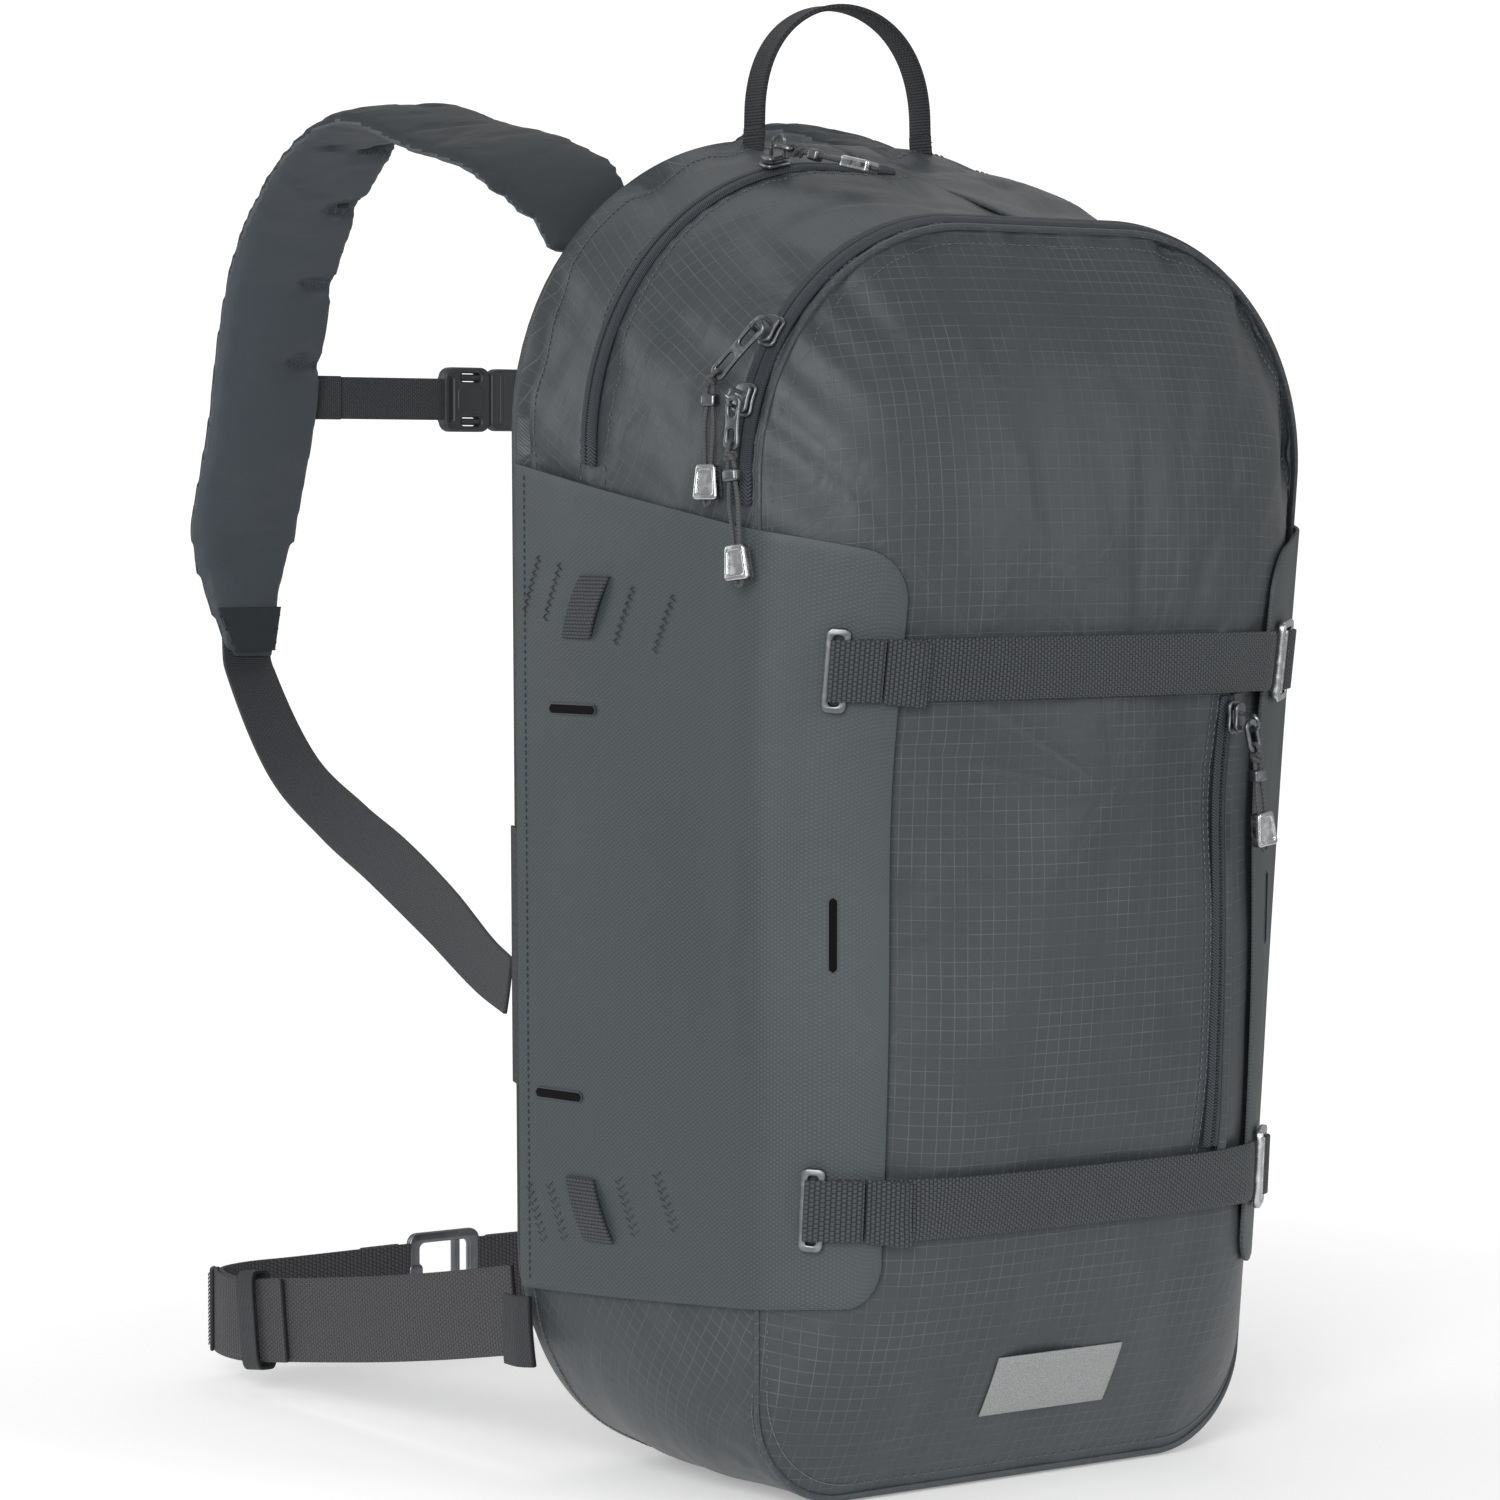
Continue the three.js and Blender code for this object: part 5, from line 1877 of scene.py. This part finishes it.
for name, side_sign, end in (("left", -1, HIP_HOOK.x - 19), ("right", 1, HIP_HOOK.x + 19)):
    route = hip_route(side_sign, end)
    bm = ribbon(route, upright, HIP_WIDTH, 150, crown=0.35, across_steps=12)
    piece(f"hip_{name}_webbing", bm, HIP_WEB, "hips", [f"hip_belt_{name}"], thick=2.1, bevel=0.4)
    fold = layer(route, 0.93, 0.985, 1.9, 8)
    piece(f"hip_{name}_fold", ribbon(fold, upright, HIP_WIDTH + 0.4, 16), HIP_WEB, "hips", thick=2, bevel=0.5)
    if name == "left":
        tail = layer(route, 0.50, 0.715, 2.6, 16)
        bm = ribbon(tail, upright, HIP_WIDTH, 60, across_steps=10)
        piece("hip_tail", bm, HIP_WEB, "hips", thick=2, bevel=0.5)
        lip = layer(route, 0.69, 0.716, 4.4, 4)
        bm = ribbon(lip, upright, HIP_WIDTH + 0.4, 12)
        piece("hip_tail_fold", bm, HIP_WEB, "hips", thick=1.8, bevel=0.6)
        bm = bmesh.new()
        for share in (0.3, 0.6):
            spot = lip(share)
            along = tangent(lip, share)
            out = spot - route(0.7)
            out = (out - along * out.dot(along)).normalized()
            stitches(bm, [(spot + out * 0.5 + Vector((0, 0, (n - 9) * 1.8)), Vector((0, 0, 1)), out)
                          for n in range(19)], 1.4, 0.35)
        piece("hip_tail_stitches", bm, THREAD, "hips")
print("belt half", round(route.length), "mm long")


# %% Keeper, tabs and the cast hook
KEEPER_MIDDLE = Vector((-153.2, 225, 33.2))
KEEPER_WIDTH = 14


def keeper_ring(t):
    """A flattened ring round the belt, seen along the belt."""
    turn = 2 * math.pi * t
    wide = squared(math.cos(turn), 0.35) * 4.6
    high = squared(math.sin(turn), 0.35) * 21.8
    lean = Vector((0, -0.13, -1)).normalized()
    return KEEPER_MIDDLE + Vector((wide, 0, 0)) - lean * high


def keeper_surface(u, v):
    return keeper_ring(u) + Vector((0, 1, -0.13)) * ((v - 0.5) * KEEPER_WIDTH)


keeper = laid(keeper_surface, (62, KEEPER_WIDTH), (60, 8), 0.9, middle=KEEPER_MIDDLE, loop=True)
piece("hip_keeper_elastic", keeper, BLACK_WEB, "hips", ["hip_keeper"], thick=1.4, bevel=0.3)

for name, side_sign in SIDES:
    tab_line = smooth_route([(side_sign * x, y, z) for x, y, z in HIP_TAB])
    bm = ribbon(tab_line, upright, 30, 20, crown=-0.6 * side_sign, across_steps=8)
    piece(f"hip_{name}_tab", bm, BLACK_WEB, "bag", [f"hip_tab_{name}"], thick=2.4, bevel=0.6)

hook = cast(rounded(40, 44, 5), [rounded(28, 34, 3)], 4, 1.2)
join(hook, cast(rounded(4, 37, 1.6), [], 3.4, 1), Matrix.Translation((7, 0, 0)))
join(hook, cast(rounded(8, 15, 3), [], 4.6, 1.2), Matrix.Translation((-16.4, 0, 0)))
bmesh.ops.transform(hook, matrix=standing(Vector((0, 0, -1)), Vector((0, -1, 0)), HIP_HOOK), verts=hook.verts)
piece("hip_hook_casting", hook, DARK_STEEL, "hips", ["hip_hook"])
print("belt hooked")

# %% [markdown]
# ## Back pad
# Two tall foam pads with a channel between them, covered in dark spacer mesh, with three sewn lines across
# that let them bend with the back.

# %% Blow up the back pad
PAD_LINES = (150, 275, 400)
PAD_HALF = 61
PAD_CORNER = 26
bm = bmesh.new()
for side_sign in (-1, 1):
    pad_route = smooth_route([(side_sign * 71, 6.6, z) for z in (37, 150, 280, 400, 523)])

    def pad_half(t):
        past = max(0, PAD_CORNER - min(t, 1 - t) * pad_route.length)
        return PAD_HALF - PAD_CORNER + math.sqrt(PAD_CORNER**2 - past**2)

    join(bm, sweep(pad_route, lambda t: Vector((1, 0, 0)), pad_half, lambda t: 4.8, 90, 44))


def sewn_line(p):
    return p.y < 4 or any(abs(p.z - z) < 2.6 for z in PAD_LINES)


bm = swell(bm, sewn_line, 3.2, cell=6)
bm.normal_update()
pad_uv = bm.loops.layers.uv.new("cloth")
for vert in bm.verts:
    near = min(abs(vert.co.z - z) for z in PAD_LINES)
    if vert.co.y > 4:
        vert.co.y -= 3.4 * math.exp(-((near / 5) ** 2))
        vert.co.y = min(vert.co.y, 13.2)
for face in bm.faces:
    for corner in face.loops:
        corner[pad_uv].uv = (corner.vert.co.x, corner.vert.co.z)
made = piece("back_pad_foam", bm, SPACER, "bag", ["back_pad"], rounds=1)
print("back padded")


# %% The flat cover behind the pads
def back_board(u, v):
    """From a small hole in the middle out to the gusset's rolled edge."""
    edge = wall(even(SIDE_RING, u), 0.001)
    reach = 0.985 * mix(0.004, 1, v)
    return Vector((edge.x * reach, 0.1, DOME_HEIGHT + (edge.z - DOME_HEIGHT) * reach))


board = laid(back_board, (1200, 280), (180, 24), 0.2, loop=True)
hole = [e for e in board.edges if e.is_boundary and e.verts[0].co.length < 400 and abs(e.verts[0].co.x) < 8]
bmesh.ops.holes_fill(board, edges=hole, sides=0)
piece("back_cover", board, LINING, "bag", thick=0.8)
print("back closed")

# %% Finish of the parts inside the bag
for node, inside in (("frame_sheet", SHEET), ("divider", LINING), ("tool_sleeve", LINING)):
    inner = bpy.data.objects[node]
    inner.data.materials.clear()
    inner.data.materials.append(inside)
print("inside parts finished")

# %% [markdown]
# ## Studio
# The pack stands in a white studio: a large soft light from the left front, a broader, weaker one from the
# right, one from above and behind to draw the top edges, and a pale floor that fades into a pale world.

# %% Floor and lights
floor_bm = bmesh.new()
bmesh.ops.create_circle(floor_bm, cap_ends=True, segments=96, radius=1600)
paper = bpy.data.materials.new("paper floor")
paper.use_nodes = True
paper_tree = paper.node_tree
paper_shader = paper_tree.nodes["Principled BSDF"]
paper_grain = add(paper_tree, "ShaderNodeTexNoise", {"Scale": 60.0, "Detail": 3.0})
paper_shade = tint(paper_tree, paper_grain.outputs[0], colour(0.93, 0.93, 0.93), colour(0.96, 0.96, 0.96))
paper_tree.links.new(paper_shade, paper_shader.inputs["Base Color"])
set_shader(paper_shader, Roughness=0.9, Emission_Color=colour(1, 1, 1), Emission_Strength=0.27)
paper_place = add(paper_tree, "ShaderNodeTexCoord").outputs["Object"]
paper_reach = add(paper_tree, "ShaderNodeVectorMath", {0: paper_place}, operation="LENGTH").outputs["Value"]
paper_fade = calc(paper_tree, "SUBTRACT", 1.0, soften(paper_tree, paper_reach, 0.3, 1.1))
paper_tree.links.new(paper_fade, paper_shader.inputs["Alpha"])
floor = piece("floor", floor_bm, paper)
floor.location.z = -0.0015


def soft_light(name, place, aim, size, power):
    lamp = bpy.data.lights.new(name, "AREA")
    lamp.shape = "RECTANGLE"
    lamp.size, lamp.size_y = size
    lamp.energy = power
    made = bpy.data.objects.new(name, lamp)
    made.location = place
    made.rotation_euler = (Vector(aim) - Vector(place)).to_track_quat("-Z", "Y").to_euler()
    bpy.context.scene.collection.objects.link(made)


soft_light("key", (-1.9, -1.7, 0.95), (0, 0, 0.3), (0.9, 1.4), 46)
soft_light("front fill", (1.1, -2.2, 0.9), (0, 0, 0.3), (0.8, 1.6), 16)
soft_light("top", (0.2, 0.5, 2.1), (0, 0, 0.3), (1.6, 1.0), 5)
soft_light("rear edge", (-1.6, 1.6, 0.9), (0, 0.1, 0.35), (1.0, 1.4), 12)

world = bpy.data.worlds.new("studio")
world.use_nodes = True
world.node_tree.nodes["Background"].inputs["Color"].default_value = colour(1, 1, 1)
# The camera sees a paler world than the one that lights the pack.
seen = add(world.node_tree, "ShaderNodeLightPath").outputs["Is Camera Ray"]
strength = calc(world.node_tree, "MULTIPLY_ADD", seen, 0.68, 0.42)
world.node_tree.links.new(strength, world.node_tree.nodes["Background"].inputs["Strength"])
bpy.context.scene.world = world
print("studio lit")
